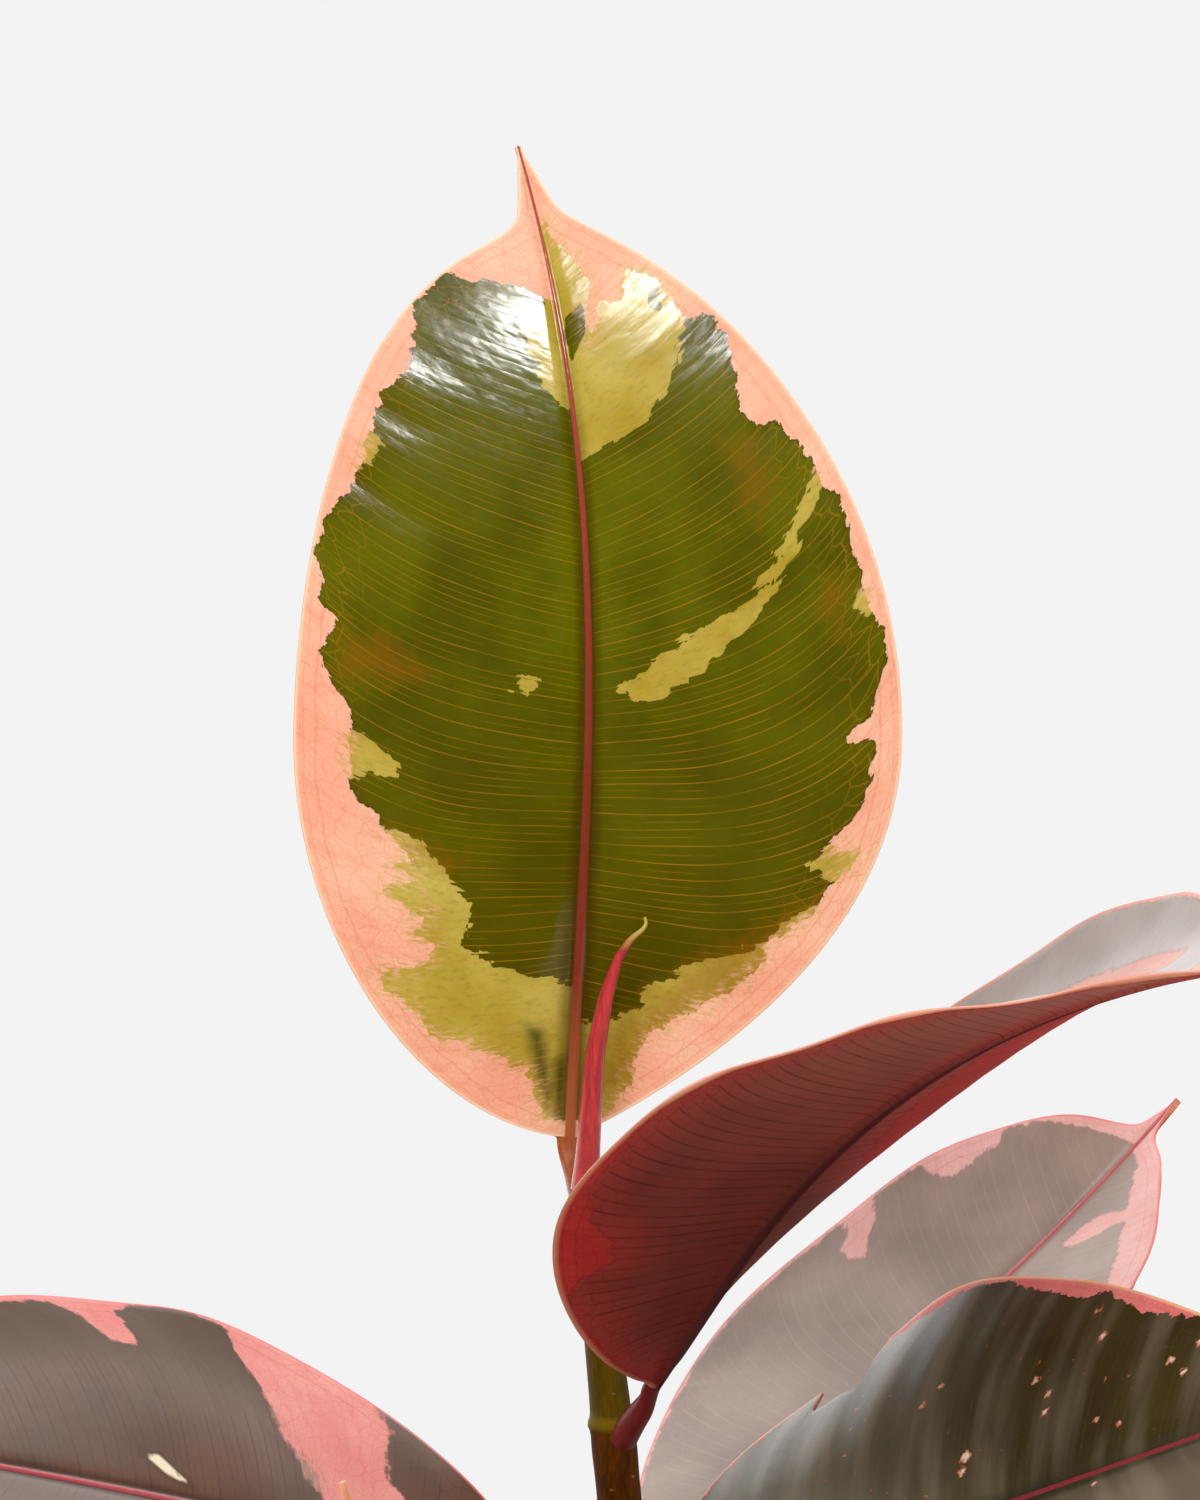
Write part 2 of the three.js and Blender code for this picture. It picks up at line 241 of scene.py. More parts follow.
def shaken(tree, vector, scale, detail, reach):
    # the vector's x and y, each moved by a soft noise
    shake = put(tree, "ShaderNodeTexNoise", {"Vector": vector, "Scale": scale, "Detail": detail})
    return vectorCalc(tree, "MULTIPLY_ADD", {0: shake.outputs["Color"], 1: (reach, reach, 0.0), 2: vector})


def vectorCalc(tree, operation, values):
    return put(tree, "ShaderNodeVectorMath", values, operation=operation).outputs[0]


def voronoi(tree, vector, size, **settings):
    return put(tree, "ShaderNodeTexVoronoi", {"Vector": vector, "Scale": 1 / size}, **settings).outputs


def scatter(tree, vector):
    return put(tree, "ShaderNodeTexWhiteNoise", {"Vector": vector}, noise_dimensions="3D").outputs["Value"]


def bump(tree, height, depth, normal=None):
    # height is 0 to 1 and depth is its size in millimetres
    values = {"Height": height, "Distance": depth * mm, "Strength": 1.0}
    if normal is not None:
        values["Normal"] = normal
    return put(tree, "ShaderNodeBump", values).outputs[0]


def dress(tree, shader, **looks):
    # each look goes to the shader's socket of that name
    for key, value in looks.items():
        feed(tree, shader.inputs[key.replace("_", " ")], value)


def newMaterial(name, **plain):
    material = bpy.data.materials.new(name)
    material.use_nodes = True
    tree = material.node_tree
    shader = tree.nodes["Principled BSDF"]
    dress(tree, shader, **plain)
    return material, tree, shader


def newGroup(name, inputs, outputs, kind="ShaderNodeTree"):
    # an input is a name and a kind, and may have a value
    tree = bpy.data.node_groups.new(name, kind)
    for label, socketKind, *value in inputs:
        socket = tree.interface.new_socket(label, in_out="INPUT", socket_type="NodeSocket" + socketKind)
        if value:
            socket.default_value = value[0]
    for label, socketKind in outputs:
        tree.interface.new_socket(label, in_out="OUTPUT", socket_type="NodeSocket" + socketKind)
    return tree, tree.nodes.new("NodeGroupInput").outputs, tree.nodes.new("NodeGroupOutput").inputs


def useGroup(tree, group, values):
    node = tree.nodes.new("ShaderNodeGroup")
    node.node_tree = group
    for key, value in values.items():
        feed(tree, node.inputs[key], value)
    return node.outputs


def attribute(tree, name):
    return put(tree, "ShaderNodeAttribute", attribute_name=name).outputs["Vector"]


def objectPlace(tree):
    # object coordinates in millimetres
    place = put(tree, "ShaderNodeTexCoord").outputs["Object"]
    return vectorCalc(tree, "SCALE", {0: place, 3: 1 / mm})


def makeCamera():
    data = bpy.data.cameras.new("camera")
    data.lens = view["lens"]
    data.sensor_width = view["sensor"]
    data.clip_start = 0.01
    camera = addObject("camera", data)
    camera.location = [value * mm for value in view["place"]]
    camera.rotation_euler = (90 * degree, 0, 0)
    bpy.context.scene.camera = camera


def makeWorld():
    # the backdrop shows plain, and the light comes from behind and above
    world = bpy.data.worlds.new("studio")
    bpy.context.scene.world = world
    world.use_nodes = True
    tree = world.node_tree
    direction = put(tree, "ShaderNodeTexCoord").outputs["Generated"]
    y = split(tree, direction)[1]
    back = times(tree, ranged(tree, y, -0.05, 0.4, kind="SMOOTHSTEP"), studio["worldBack"])
    light = plus(tree, back, studio["worldFront"])
    seen = put(tree, "ShaderNodeLightPath").outputs["Is Camera Ray"]
    strength = put(tree, "ShaderNodeMix", {0: seen, 2: light, 3: studio["backdrop"]}).outputs[0]
    feed(tree, tree.nodes["Background"].inputs["Strength"], strength)
    tree.nodes["Background"].inputs["Color"].default_value = (1, 1, 1, 1)


def areaLight(name, place, target, size, power, reflects):
    data = bpy.data.lights.new(name, "AREA")
    data.shape = "RECTANGLE"
    data.size, data.size_y = size[0] * mm, size[1] * mm
    data.energy = power
    lamp = addObject(name, data)
    lamp.location = [value * mm for value in place]
    reach = np.subtract(target, place)
    lamp.rotation_euler = (math.atan2(math.hypot(reach[0], reach[1]), -reach[2]), 0,
                           math.atan2(reach[1], reach[0]) - math.pi / 2)
    lamp.visible_glossy = reflects
    lamp.visible_camera = False


def makeFloor():
    material, tree, shader = newMaterial("studio_floor", Roughness=0.8)
    x, y = split(tree, objectPlace(tree))[:2]
    far = calc(tree, "SQRT", plus(tree, times(tree, x, x), times(tree, y, y)))
    alpha = ranged(tree, far, studio["floorRadius"] - studio["floorFade"], studio["floorRadius"], 1, 0)
    dress(tree, shader, Base_Color=tint(studio["floorColour"]), Alpha=alpha)
    turns = around(studio["floorSides"])
    rings = [np.stack([r * np.cos(turns), r * np.sin(turns), 0 * turns], 1)
             for r in np.linspace(studio["floorInner"], studio["floorRadius"], studio["floorRings"])]
    numbers = np.arange(len(rings) * len(turns)).reshape(len(rings), -1)
    faces = ringFaces(numbers, turned=True) + [list(numbers[0])]
    makeMesh("floor", np.concatenate(rings), faces, [material])


makeCamera()
makeWorld()
bpy.context.scene.view_settings.view_transform = "Standard"
for box in studio["softboxes"]:
    areaLight("softbox", box["place"], studio["softboxAim"], box["size"], box["power"], True)
areaLight("fill", studio["fillPlace"], studio["fillAim"], studio["fillSize"], studio["fillPower"], False)
makeFloor()
print("stage ready")


# Shader groups that more than one material uses

def buildGrain():
    # fine mottling: a value about 0.5, and a height from 0 to 1
    tree, given, out = newGroup(
        "fineGrain",
        [("Place", "Vector"), ("Size", "Float", 1.0), ("Stretch", "Float", 1.0)],
        [("Value", "Float"), ("Height", "Float")],
    )
    x, y, z = split(tree, given["Place"])
    squeezed = joined(tree, x, y, divided(tree, z, given["Stretch"]))
    scaled = vectorCalc(tree, "SCALE", {0: squeezed, 3: divided(tree, 1.0, given["Size"])})
    broad = noise(tree, scaled, 3.0, 3)
    fine = noise(tree, scaled, 0.8, 4, 0.65)
    feed(tree, out["Value"], timesPlus(tree, broad, 0.5, times(tree, fine, 0.5)))
    feed(tree, out["Height"], fine)
    return tree


# The side veins, the net between them and the veins along the margin, in millimetres.
veins = {
    "spacing": 2.1, "joining": (2.4, 4.0), "coarseNet": 2.1, "fineNet": 0.95, "netStretch": 0.62,
    "parallel": ((1.2, 0.22, 0.7), (3.1, 0.25, 1)),  # place, width and strength
    "bulge": 0.65,
}


def buildVeins():
    # Place holds the side vein's own coordinate and the distances from the midrib and from the base.
    # Edge holds the distance to the margin and the share of the length.
    tree, given, out = newGroup(
        "leafVeins",
        [("Place", "Vector"), ("Edge", "Vector"), ("Width", "Float", 0.1), ("Sway", "Float", 1.6),
         ("Between", "Float", 0.45)],
        [("Lateral", "Float"), ("Net", "Float"), ("Margin", "Float"), ("Height", "Float")],
    )
    v, d = split(tree, given["Place"])[:2]
    edge = split(tree, given["Edge"])[0]
    flat = joined(tree, v, d, 0.0)
    sway = minus(tree, noise(tree, joined(tree, v, times(tree, d, 0.3)), 8.0, 1), 0.5)
    run = timesPlus(tree, sway, given["Sway"], v)
    order = divided(tree, run, veins["spacing"])
    number = calc(tree, "FLOOR", order)
    middle = sizeOf(tree, minus(tree, calc(tree, "FRACT", order), 0.5))
    offset = times(tree, middle, veins["spacing"])
    side = calc(tree, "SIGN", d)
    strength = scatter(tree, joined(tree, number, side, 4.0))
    fading = noise(tree, joined(tree, times(tree, v, 0.5), times(tree, d, 0.25)), 2.2, 2)
    present = times(tree, ranged(tree, strength, 0.0, 0.7, 0.55, 1.0),
                   ranged(tree, fading, 0.35, 0.6, 0.45, 1.0))
    line = ranged(tree, offset, times(tree, given["Width"], 0.4),
                  times(tree, given["Width"], 1.7), 1, 0, "SMOOTHSTEP")
    inner = ranged(tree, edge, *veins["joining"])
    lateral = times(tree, times(tree, line, present), inner)
    # fainter veins between the laterals
    between = times(tree, minus(tree, 0.5, middle), veins["spacing"])
    thin = ranged(tree, between, times(tree, given["Width"], 0.5),
                  times(tree, given["Width"], 1.6), 1, 0, "SMOOTHSTEP")
    shown = ranged(tree, fading, 0.45, 0.6, 0.0, given["Between"])
    thin = times(tree, times(tree, thin, shown), inner)
    lateral = larger(tree, lateral, thin)
    # the net that joins them near the margin, coarse and fine
    shifted = shaken(tree, flat, 0.5, 2.0, 0.9)
    stretched = vectorCalc(tree, "MULTIPLY", {0: shifted, 1: (1.0, veins["netStretch"], 1.0)})

    def netLine(vector, size, low, high, strength):
        net = voronoi(tree, vector, size, feature="DISTANCE_TO_EDGE", voronoi_dimensions="2D")
        return ranged(tree, net["Distance"], low, high, strength, 0, "SMOOTHSTEP")

    coarseLine = netLine(stretched, veins["coarseNet"], 0.008, 0.045, 0.85)
    fineLine = netLine(shifted, veins["fineNet"], 0.02, 0.09, 0.55)
    feed(tree, out["Net"], larger(tree, coarseLine, fineLine))
    coarseOnly = times(tree, coarseLine, ranged(tree, edge, 11, 5, 0, 0.8))
    # veins that run parallel to the margin
    wander = timesPlus(tree, minus(tree, noise(tree, flat, 4.0, 1), 0.5), 1.0, edge)
    parallel = [ranged(tree, sizeOf(tree, minus(tree, wander, place)), 0.06, width, strength, 0)
                for place, width, strength in veins["parallel"]]
    feed(tree, out["Margin"], larger(tree, *parallel))
    feed(tree, out["Lateral"], larger(tree, lateral, coarseOnly))
    # the blade bulges a little between its side veins
    pillow = calc(tree, "SQRT", times(tree, middle, 2.0))
    grain = noise(tree, flat, 0.5, 3)
    grain = times(tree, grain, 1 - veins["bulge"])
    feed(tree, out["Height"], timesPlus(tree, pillow, veins["bulge"], grain))
    return tree


def buildZones():
    # Field holds how far inside the coloured middle, the pale patches and the dark spots a point lies.
    # Their borders step along the side veins, as the real ones do.
    tree, given, out = newGroup(
        "leafZones",
        [("Field", "Vector"), ("Place", "Vector"), ("Brown", "Float", -20.0),
         ("Ragged", "Float", 1.0), ("Blur", "Float", 0.06)],
        [("Inside", "Float"), ("Pale", "Float"), ("Brown", "Float"), ("Mist", "Float"), ("Border", "Float")],
    )
    inside, pale, dark = split(tree, given["Field"])
    v, d, a = split(tree, given["Place"])
    flat = joined(tree, v, d, 0.0)
    soft = minus(tree, noise(tree, flat, 3.0, 3, 0.6), 0.5)

    def cells(height, length, seed):
        row = calc(tree, "FLOOR", divided(tree, v, height))
        column = calc(tree, "FLOOR", divided(tree, d, length))
        return minus(tree, scatter(tree, joined(tree, row, column, seed)), 0.5)

    small = cells(0.62, 1.3, 1.0)
    inner = timesPlus(tree, soft, 3.0, times(tree, small, 0.5))
    inner = timesPlus(tree, cells(1.05, 60.0, 2.0), 0.55, inner)
    inner = times(tree, inner, given["Ragged"])
    patch = timesPlus(tree, soft, 2.4, times(tree, cells(0.7, 1.9, 3.0), 0.9))
    patch = timesPlus(tree, cells(1.05, 60.0, 4.0), 1.0, patch)
    spot = timesPlus(tree, soft, 1.2, times(tree, small, 0.15))
    # the dark strokes at the blade's base are soft, and so is a border given a blur
    baseBlur = ranged(tree, a, 20, 40, 1.6, 0.08)
    crisp = []
    for value, shift, blur in ((inside, inner, given["Blur"]), (pale, patch, given["Blur"]),
                               (dark, spot, baseBlur)):
        back = times(tree, blur, -1.0)
        crisp.append(ranged(tree, plus(tree, value, shift), back, blur, kind="SMOOTHSTEP"))
    # a mist of fine streaks where the pale areas meet the pink
    streak = noise(tree, joined(tree, v, times(tree, d, 0.22)), 0.42, 2)
    thin = sizeOf(tree, plus(tree, inside, inner))
    mist = times(tree, ranged(tree, streak, 0.5, 0.62), ranged(tree, thin, 0.0, 2.6, 0.75, 0.0))
    mist = times(tree, mist, ranged(tree, plus(tree, pale, patch), -0.5, 0.5))
    feed(tree, out["Mist"], mist)
    feed(tree, out["Border"], ranged(tree, thin, 0.1, 0.45, 0.55, 0))
    feed(tree, out["Inside"], larger(tree, crisp[0], crisp[2]))
    feed(tree, out["Pale"], minus(tree, crisp[1], crisp[2]))
    feed(tree, out["Brown"], ranged(tree, timesPlus(tree, soft, 9.0, given["Brown"]), -1.5, 3.0))
    return tree


fineGrain = buildGrain()
leafVeins = buildVeins()
leafZones = buildZones()


# Pot

pot = {
    "height": 132, "baseRadius": 50, "topRadius": 70.5, "wall": 6, "floor": 8, "footBevel": 2,
    "bandHeight": 28, "bandStep": 4.5, "bandBevel": 1.5, "lipRadius": 3, "innerFillet": 6,
    "holeRadius": 4.5, "holeCircle": 24, "holes": 4, "holeSides": 32, "sides": 144,
    "wallMarks": (0.12, 1.1), "bandMarks": (0.08, 1.4),  # depth and closeness of the turning marks
    "colour": (196, 112, 74), "dark": (160, 82, 52), "bloom": (214, 170, 140), "pitSpacing": 2.6,
}


def outerRadius(z):
    return pot["baseRadius"] + (pot["topRadius"] - pot["baseRadius"]) * z / pot["height"]


def innerRadius(z):
    return outerRadius(z) - pot["wall"]


def clayMaterial():
    material, tree, shader = newMaterial("terracotta", Roughness=0.85)
    place = objectPlace(tree)
    z = split(tree, place)[2]
    grain = useGroup(tree, fineGrain, {"Place": place, "Size": 1.2, "Stretch": 0.6})
    cloud = noise(tree, place, 22, 3)
    base = mottled(tree, grain["Value"], pot["dark"], pot["colour"])
    base = mixed(tree, ranged(tree, cloud, 0.35, 0.7, 0, 0.45), base, pot["colour"])
    # lime that the clay has drawn up, over the foot and under the band
    low = ranged(tree, z, 45, 0, 0, 0.55)
    bloom = times(tree, ranged(tree, noise(tree, place, 16, 5, 0.65), 0.5, 0.72),
                 plus(tree, low, 0.28))
    base = mixed(tree, bloom, base, pot["bloom"])
    pits = voronoi(tree, place, pot["pitSpacing"])["Distance"]
    dress(tree, shader, Base_Color=base, Roughness=ranged(tree, bloom, 0, 0.5, 0.8, 0.95),
          Normal=bump(tree, ranged(tree, pits, 0.05, 0.2), 0.12, bump(tree, grain["Height"], 0.22)))
    return material


def turningMark(z, marks):
    depth, closeness = marks
    return depth * math.sin(z * closeness)


def potProfile():
    height, step, bevel, lip = pot["height"], pot["bandStep"], pot["bandBevel"], pot["lipRadius"]
    foot = height - pot["bandHeight"]
    points = [(0, 0), (pot["baseRadius"] - pot["footBevel"], 0)]
    turns = np.linspace(0, 90, 5) * degree
    # the foot's round edge, then a wall with faint turning marks
    for z in np.linspace(pot["footBevel"], foot, 40):
        points.append((outerRadius(z) + turningMark(z, pot["wallMarks"]) * smooth(2, 20, z), z))
    points.append((outerRadius(foot) + step - bevel, foot))
    for turn in turns:
        points.append((outerRadius(foot) + step - bevel * (1 - math.sin(turn)),
                       foot + bevel * (1 - math.cos(turn))))
    for z in np.linspace(foot + 3, height - lip - 1, 9):
        points.append((outerRadius(z) + step + turningMark(z, pot["bandMarks"]), z))
    outer = outerRadius(height) + step
    inner = innerRadius(height)
    for turn in np.linspace(0, 90, 7) * degree:
        points.append((outer - lip * (1 - math.cos(turn)), height - lip * (1 - math.sin(turn))))
    for turn in np.linspace(90, 0, 7) * degree:
        points.append((inner + lip * (1 - math.cos(turn)), height - lip * (1 - math.sin(turn))))
    for z in np.linspace(height - lip - 2, pot["floor"] + pot["innerFillet"], 12):
        points.append((innerRadius(z), z))
    corner = innerRadius(pot["floor"]) - pot["innerFillet"]
    for turn in turns[1:]:
        points.append((corner + pot["innerFillet"] * math.cos(turn),
                       pot["floor"] + pot["innerFillet"] * (1 - math.sin(turn))))
    points.append((0, pot["floor"]))
    return points


def turnedPoints(profile, sides, height=None):
    # points and rings of a profile that starts and ends on the axis; z comes from height where it is None
    points, rings = [], []
    for r, z in profile:
        if r == 0:
            rings.append([len(points)] * sides)
            points.append((0, 0, z))
            continue
        rings.append(list(range(len(points), len(points) + sides)))
        for turn in around(sides):
            x, y = r * math.cos(turn), r * math.sin(turn)
            points.append((x, y, height(x, y) if z is None else z))
    return points, rings


def makePot():
    clay = clayMaterial()
    points, rings = turnedPoints(potProfile(), pot["sides"])
    piece = makeMesh("clay_pot", points, ringFaces(rings), [clay])
    cutters = []
    for i in range(pot["holes"]):
        turn = 2 * math.pi * (i + 0.5) / pot["holes"]
        bpy.ops.mesh.primitive_cylinder_add(
            vertices=pot["holeSides"], radius=pot["holeRadius"] * mm, depth=3 * pot["floor"] * mm,
            location=(pot["holeCircle"] * math.cos(turn) * mm, pot["holeCircle"] * math.sin(turn) * mm, 0),
        )
        cutter = bpy.context.object
        cutter.data.materials.append(clay)
        cutters.append(cutter)
        cut = piece.modifiers.new("hole", "BOOLEAN")
        cut.operation = "DIFFERENCE"
        cut.solver = "EXACT"
        cut.object = cutter
    flatten(piece)
    for cutter in cutters:
        bpy.data.objects.remove(cutter)
    piece.data.shade_smooth()
    piece.data.set_sharp_from_angle(angle=40 * degree)
    handOver(piece, "clay", "pot")


makePot()
print("pot ready")


# Stem and the sheath of its growing tip

stem = {
    "foot": (0, 0, 60), "ground": (0, 0, 118), "bend": (-2.5, 0, 215), "top": (-12, -0.5, 286),
    "radii": (5.2, 4.6, 3.7, 2.3), "footRadius": 4.6, "scarRise": 3.3, "scarHalf": 1.3, "scarSwell": 0.45,
    "nodes": [281, 248.5, 219, 204, 190, 176, 163, 152, 142, 133, 126], "sides": 40, "rings": 240,
    "nodeSwell": 0.25, "nodeReach": 4.5, "browning": (254, 251),
    "green": (90, 68, 0), "lowGreen": (68, 48, 0), "bark": (90, 46, 4), "lowBark": (60, 30, 2),
    "ring": (104, 84, 6), "pore": (150, 116, 72), "poreSpacing": 2.4,
}

# a bud's place is its leaf ring's height and its azimuth
buds = {
    "places": [(219, -142), (204, 92), (190, -96), (176, 150), (163, 12), (142, 95), (133, -38),
               (126, -178)],
    "rise": 4.2, "height": 4.6, "radius": 1.15, "stand": 0.35, "lean": 0.12, "depth": 0.8,
    "rings": 12, "sides": 14,
}


def stemPlace(z):
    # how far along the stem's curve a height lies
    fine = np.linspace(0, 1, 600)
    heights = along([stem["ground"], stem["bend"], stem["top"]], fine)[:, 2]
    return np.interp(z, heights, fine)


def stemAxis(z):
    return along([stem["ground"], stem["bend"], stem["top"]], stemPlace(z))


def stemRadius(z):
    share = (z - stem["ground"][2]) / (stem["top"][2] - stem["ground"][2])
    radius = along(stem["radii"], np.clip(share, 0, 1))
    for node in stem["nodes"]:
        rise = np.abs(z - node - stem["scarRise"]) / stem["scarHalf"]
        radius = radius + stem["scarSwell"] * np.exp(-(1.5 * rise) ** 2)
        radius = radius + stem["nodeSwell"] * np.exp(-((z - node) / stem["nodeReach"]) ** 2)
    return radius


def buildSweep():
    # a curve with a radius at each point becomes a closed tube
    tree, given, out = newGroup(
        "sweptTube",
        [("Geometry", "Geometry"), ("Sides", "Int"), ("Finish", "Material")],
        [("Geometry", "Geometry")], "GeometryNodeTree",
    )
    circle = put(tree, "GeometryNodeCurvePrimitiveCircle", {"Resolution": given["Sides"], "Radius": 1.0})
    width = put(tree, "GeometryNodeInputRadius").outputs[0]
    sweep = put(tree, "GeometryNodeCurveToMesh", {
        "Curve": given["Geometry"], "Profile Curve": circle.outputs["Curve"], "Scale": width,
        "Fill Caps": True,
    })
    real = put(tree, "GeometryNodeRealizeInstances", {"Geometry": sweep.outputs["Mesh"]})
    done = put(tree, "GeometryNodeSetMaterial", {"Geometry": real.outputs[0], "Material": given["Finish"]})
    feed(tree, out["Geometry"], done.outputs[0])
    return tree


def setInput(modifier, label, value):
    for item in modifier.node_group.interface.items_tree:
        if item.name == label and item.in_out == "INPUT":
            modifier[item.identifier] = value


def sweptPiece(name, path, radii, sides, material):
    curve = bpy.data.curves.new(name, "CURVE")
    curve.dimensions = "3D"
    line = curve.splines.new("POLY")
    line.points.add(len(path) - 1)
    for point, place, radius in zip(line.points, path, radii):
        point.co = (*(np.asarray(place) * mm), 1)
        point.radius = radius * mm
    carrier = addObject(name + "_path", curve)
    modifier = carrier.modifiers.new("sweep", "NODES")
    modifier.node_group = sweptTube
    setInput(modifier, "Sides", sides)
    setInput(modifier, "Finish", material)
    mesh = evaluated(carrier)
    bpy.data.objects.remove(carrier)
    mesh.name = name
    mesh.shade_smooth()
    return addObject(name, mesh)


def stemMaterial():
    material, tree, shader = newMaterial("green_bark", Roughness=0.45, Specular_IOR_Level=0.12)
    place = objectPlace(tree)
    x, y, z = split(tree, place)
    grain = useGroup(tree, fineGrain, {"Place": place, "Size": 0.5, "Stretch": 5.0})
    broad = noise(tree, place, 9, 3)
    age = ranged(tree, timesPlus(tree, broad, 4.0, z), *stem["browning"])
    young = mottled(tree, grain["Value"], stem["green"], stem["lowGreen"])
    old = mottled(tree, grain["Value"], stem["bark"], stem["lowBark"], 0.4, 0.6)
    colour = mixed(tree, age, young, old)
    ringMask = 0.0
    for node in stem["nodes"]:
        near = sizeOf(tree, minus(tree, z, node + stem["scarRise"]))
        ringMask = larger(tree, ringMask, ranged(tree, near, 0.5, 1.3, 0.8, 0))
    colour = mixed(tree, ringMask, colour, stem["ring"])
    # corky breathing pores, wider than they are tall
    flat = joined(tree, x, y, times(tree, z, 1.7))
    cell = voronoi(tree, flat, stem["poreSpacing"])
    chosen = ranged(tree, split(tree, cell["Color"])[0], 0.55, 0.6)
    pore = times(tree, ranged(tree, cell["Distance"], 0.1, 0.2, 1, 0), chosen)
    shown = times(tree, pore, ranged(tree, age, 0, 1, 0.25, 0.7))
    colour = mixed(tree, shown, colour, stem["pore"])
    dress(tree, shader, Base_Color=colour, Roughness=ranged(tree, age, 0, 1, 0.62, 0.78),
          Normal=bump(tree, pore, 0.12, bump(tree, grain["Height"], 0.15)))
    return material


def makeStem():
    heights = np.linspace(stem["ground"][2], stem["top"][2], stem["rings"])
    path = [stem["foot"]] + list(stemAxis(heights))
    radii = [stem["footRadius"]] + list(stemRadius(heights))
    piece = sweptPiece("stem_wood", path, radii, stem["sides"], stemMaterial())
    handOver(piece, "stem", "stem")


sheath = {
    "path": [
        (-12, -0.8, 286.65), (-11.6, -1.4, 291.5), (-11.3, -1.9, 296), (-10.5, -2.5, 307),
        (-8.9, -3, 315.6), (-7, -3.4, 321.5), (-5.1, -3.6, 324.4), (-3.3, -3.7, 325.7),
        (-2.6, -3.7, 326.7), (-3.1, -3.7, 327.6),
    ],
    "radii": [2.15, 1.88, 1.74, 1.5, 1.15, 0.75, 0.48, 0.33, 0.27, 0.2],
    "rings": 90, "sides": 28,
    "crimson": (188, 52, 50), "dark": (140, 34, 38), "pale": (188, 84, 72), "tip": (176, 160, 70),
    "tipFrom": 322.5, "tipTo": 325.8, "paleTop": 304, "paleFoot": 290,
}


def sheathMaterial():
    material, tree, shader = newMaterial("crimson_sheath", Roughness=0.35)
    place = objectPlace(tree)
    x, _, z = split(tree, place)
    grain = useGroup(tree, fineGrain, {"Place": place, "Size": 0.4, "Stretch": 8.0})
    colour = mottled(tree, grain["Value"], sheath["crimson"], sheath["dark"], 0.4, 0.6)
    foot = ranged(tree, z, sheath["paleTop"], sheath["paleFoot"])
    leftSide = ranged(tree, x, -12.2, -13.2)
    paleness = times(tree, foot, ranged(tree, leftSide, 0, 1, 0.1, 0.6))
    colour = mixed(tree, paleness, colour, sheath["pale"])
    colour = mixed(tree, ranged(tree, z, sheath["tipFrom"], sheath["tipTo"]), colour, sheath["tip"])
    dress(tree, shader, Base_Color=colour, Normal=bump(tree, grain["Height"], 0.08))
    return material


def makeSheath():
    path = np.array(sheath["path"], float)
    reach = np.concatenate([[0], np.cumsum(np.linalg.norm(np.diff(path, axis=0), axis=1))])
    fine = np.linspace(0, reach[-1], sheath["rings"])
    points = np.stack([np.interp(fine, reach, path[:, i]) for i in range(3)], 1)
    radii = np.interp(fine, reach, sheath["radii"])
    for _ in range(4):
        points[1:-1] = (points[:-2] + 2 * points[1:-1] + points[2:]) / 4
    piece = sweptPiece("bud_sheath_skin", points, radii, sheath["sides"], sheathMaterial())
    handOver(piece, "sheath", "bud_sheath")


def makeBuds():
    # a small resting bud above each lower leaf stalk
    points, faces = [], []
    for node, azimuth in buds["places"]:
        seat = node + buds["rise"]
        outward = np.array([math.cos(azimuth * degree), math.sin(azimuth * degree), 0])
        lean = unit(outward * buds["lean"] + np.array([0, 0, 1]))
        across = np.cross(outward, lean)
        deep = np.cross(lean, across)
        foot = stemAxis(seat) + outward * (stemRadius(seat) + buds["stand"])
        rings = len(points) + np.arange(buds["rings"] * buds["sides"]).reshape(buds["rings"], -1)
        for t in np.linspace(0, 1, buds["rings"]):
            swell = math.sin(math.pi * min(1, t * 0.72 + 0.2)) ** 0.8
            radius = buds["radius"] * swell * (1 - t ** 4) + 0.02
            middle = foot + lean * buds["height"] * t
            for turn in around(buds["sides"]):
                points.append(middle + across * radius * math.cos(turn)
                              + deep * radius * buds["depth"] * math.sin(turn))
        faces += ringFaces(rings) + [list(rings[0])[::-1], list(rings[-1])]
    piece = makeMesh("resting_buds", points, faces, [bpy.data.materials["crimson_sheath"]])
    handOver(piece, "sheath")


sweptTube = buildSweep()
makeStem()
makeSheath()
makeBuds()
print("stem and sheath ready")


# Leaves

blade = {
    "rows": 150, "columns": 28, "stalkRows": 20, "firstRow": 0.0012, "crowding": 1.12,
    "innerShares": (0.14, 0.27, 0.39, 0.52, 0.7, 1.0), "innerReach": 2.6,
    "thickness": 0.62, "edgeThickness": 0.34, "edgeRound": 0.12,
    "ribDepth": 1.5, "ribHalf": 1.5, "ribTipDepth": 0.25, "ribTipHalf": 0.35, "ribSpread": 1.3,
    "grooveDepth": 0.45, "grooveReach": 1.9, "beadHeight": 0.42, "beadReach": 0.62,
    "beadRise": 0.03, "beadFrom": 0.04, "quilt": 0.06, "quiltEvery": 8.6, "wave": 0.5, "waveEvery": 31,
    "outline": (0.42, 0.91, 0.95, 0.78, 0.49), "shoulder": 0.15,
    "dripFrom": (0.6, 0.85), "dripBlend": 2.5, "easeFrom": (0.8, 0.84), "thinFrom": 0.88,
    "stalkRadius": 1.8, "stalkFoot": 0.5, "stalkDrop": 0.6, "stalkRise": 0.9, "stalkEnd": 0.98,
    "stalkSink": 0.3, "stalkJoin": 0.55, "stalkChannel": 0.16, "channelHalf": 0.45,
    "veinSlope": (-0.3, -0.1, 0.55, 0.65), "veinCurve": 0.17, "veinReach": 40,
}


def bladeHalf(half, fold=(10, 8, 4), curl=(-0.1, -0.1), **more):
    return {"half": half, "fold": fold, "curl": curl, **more}


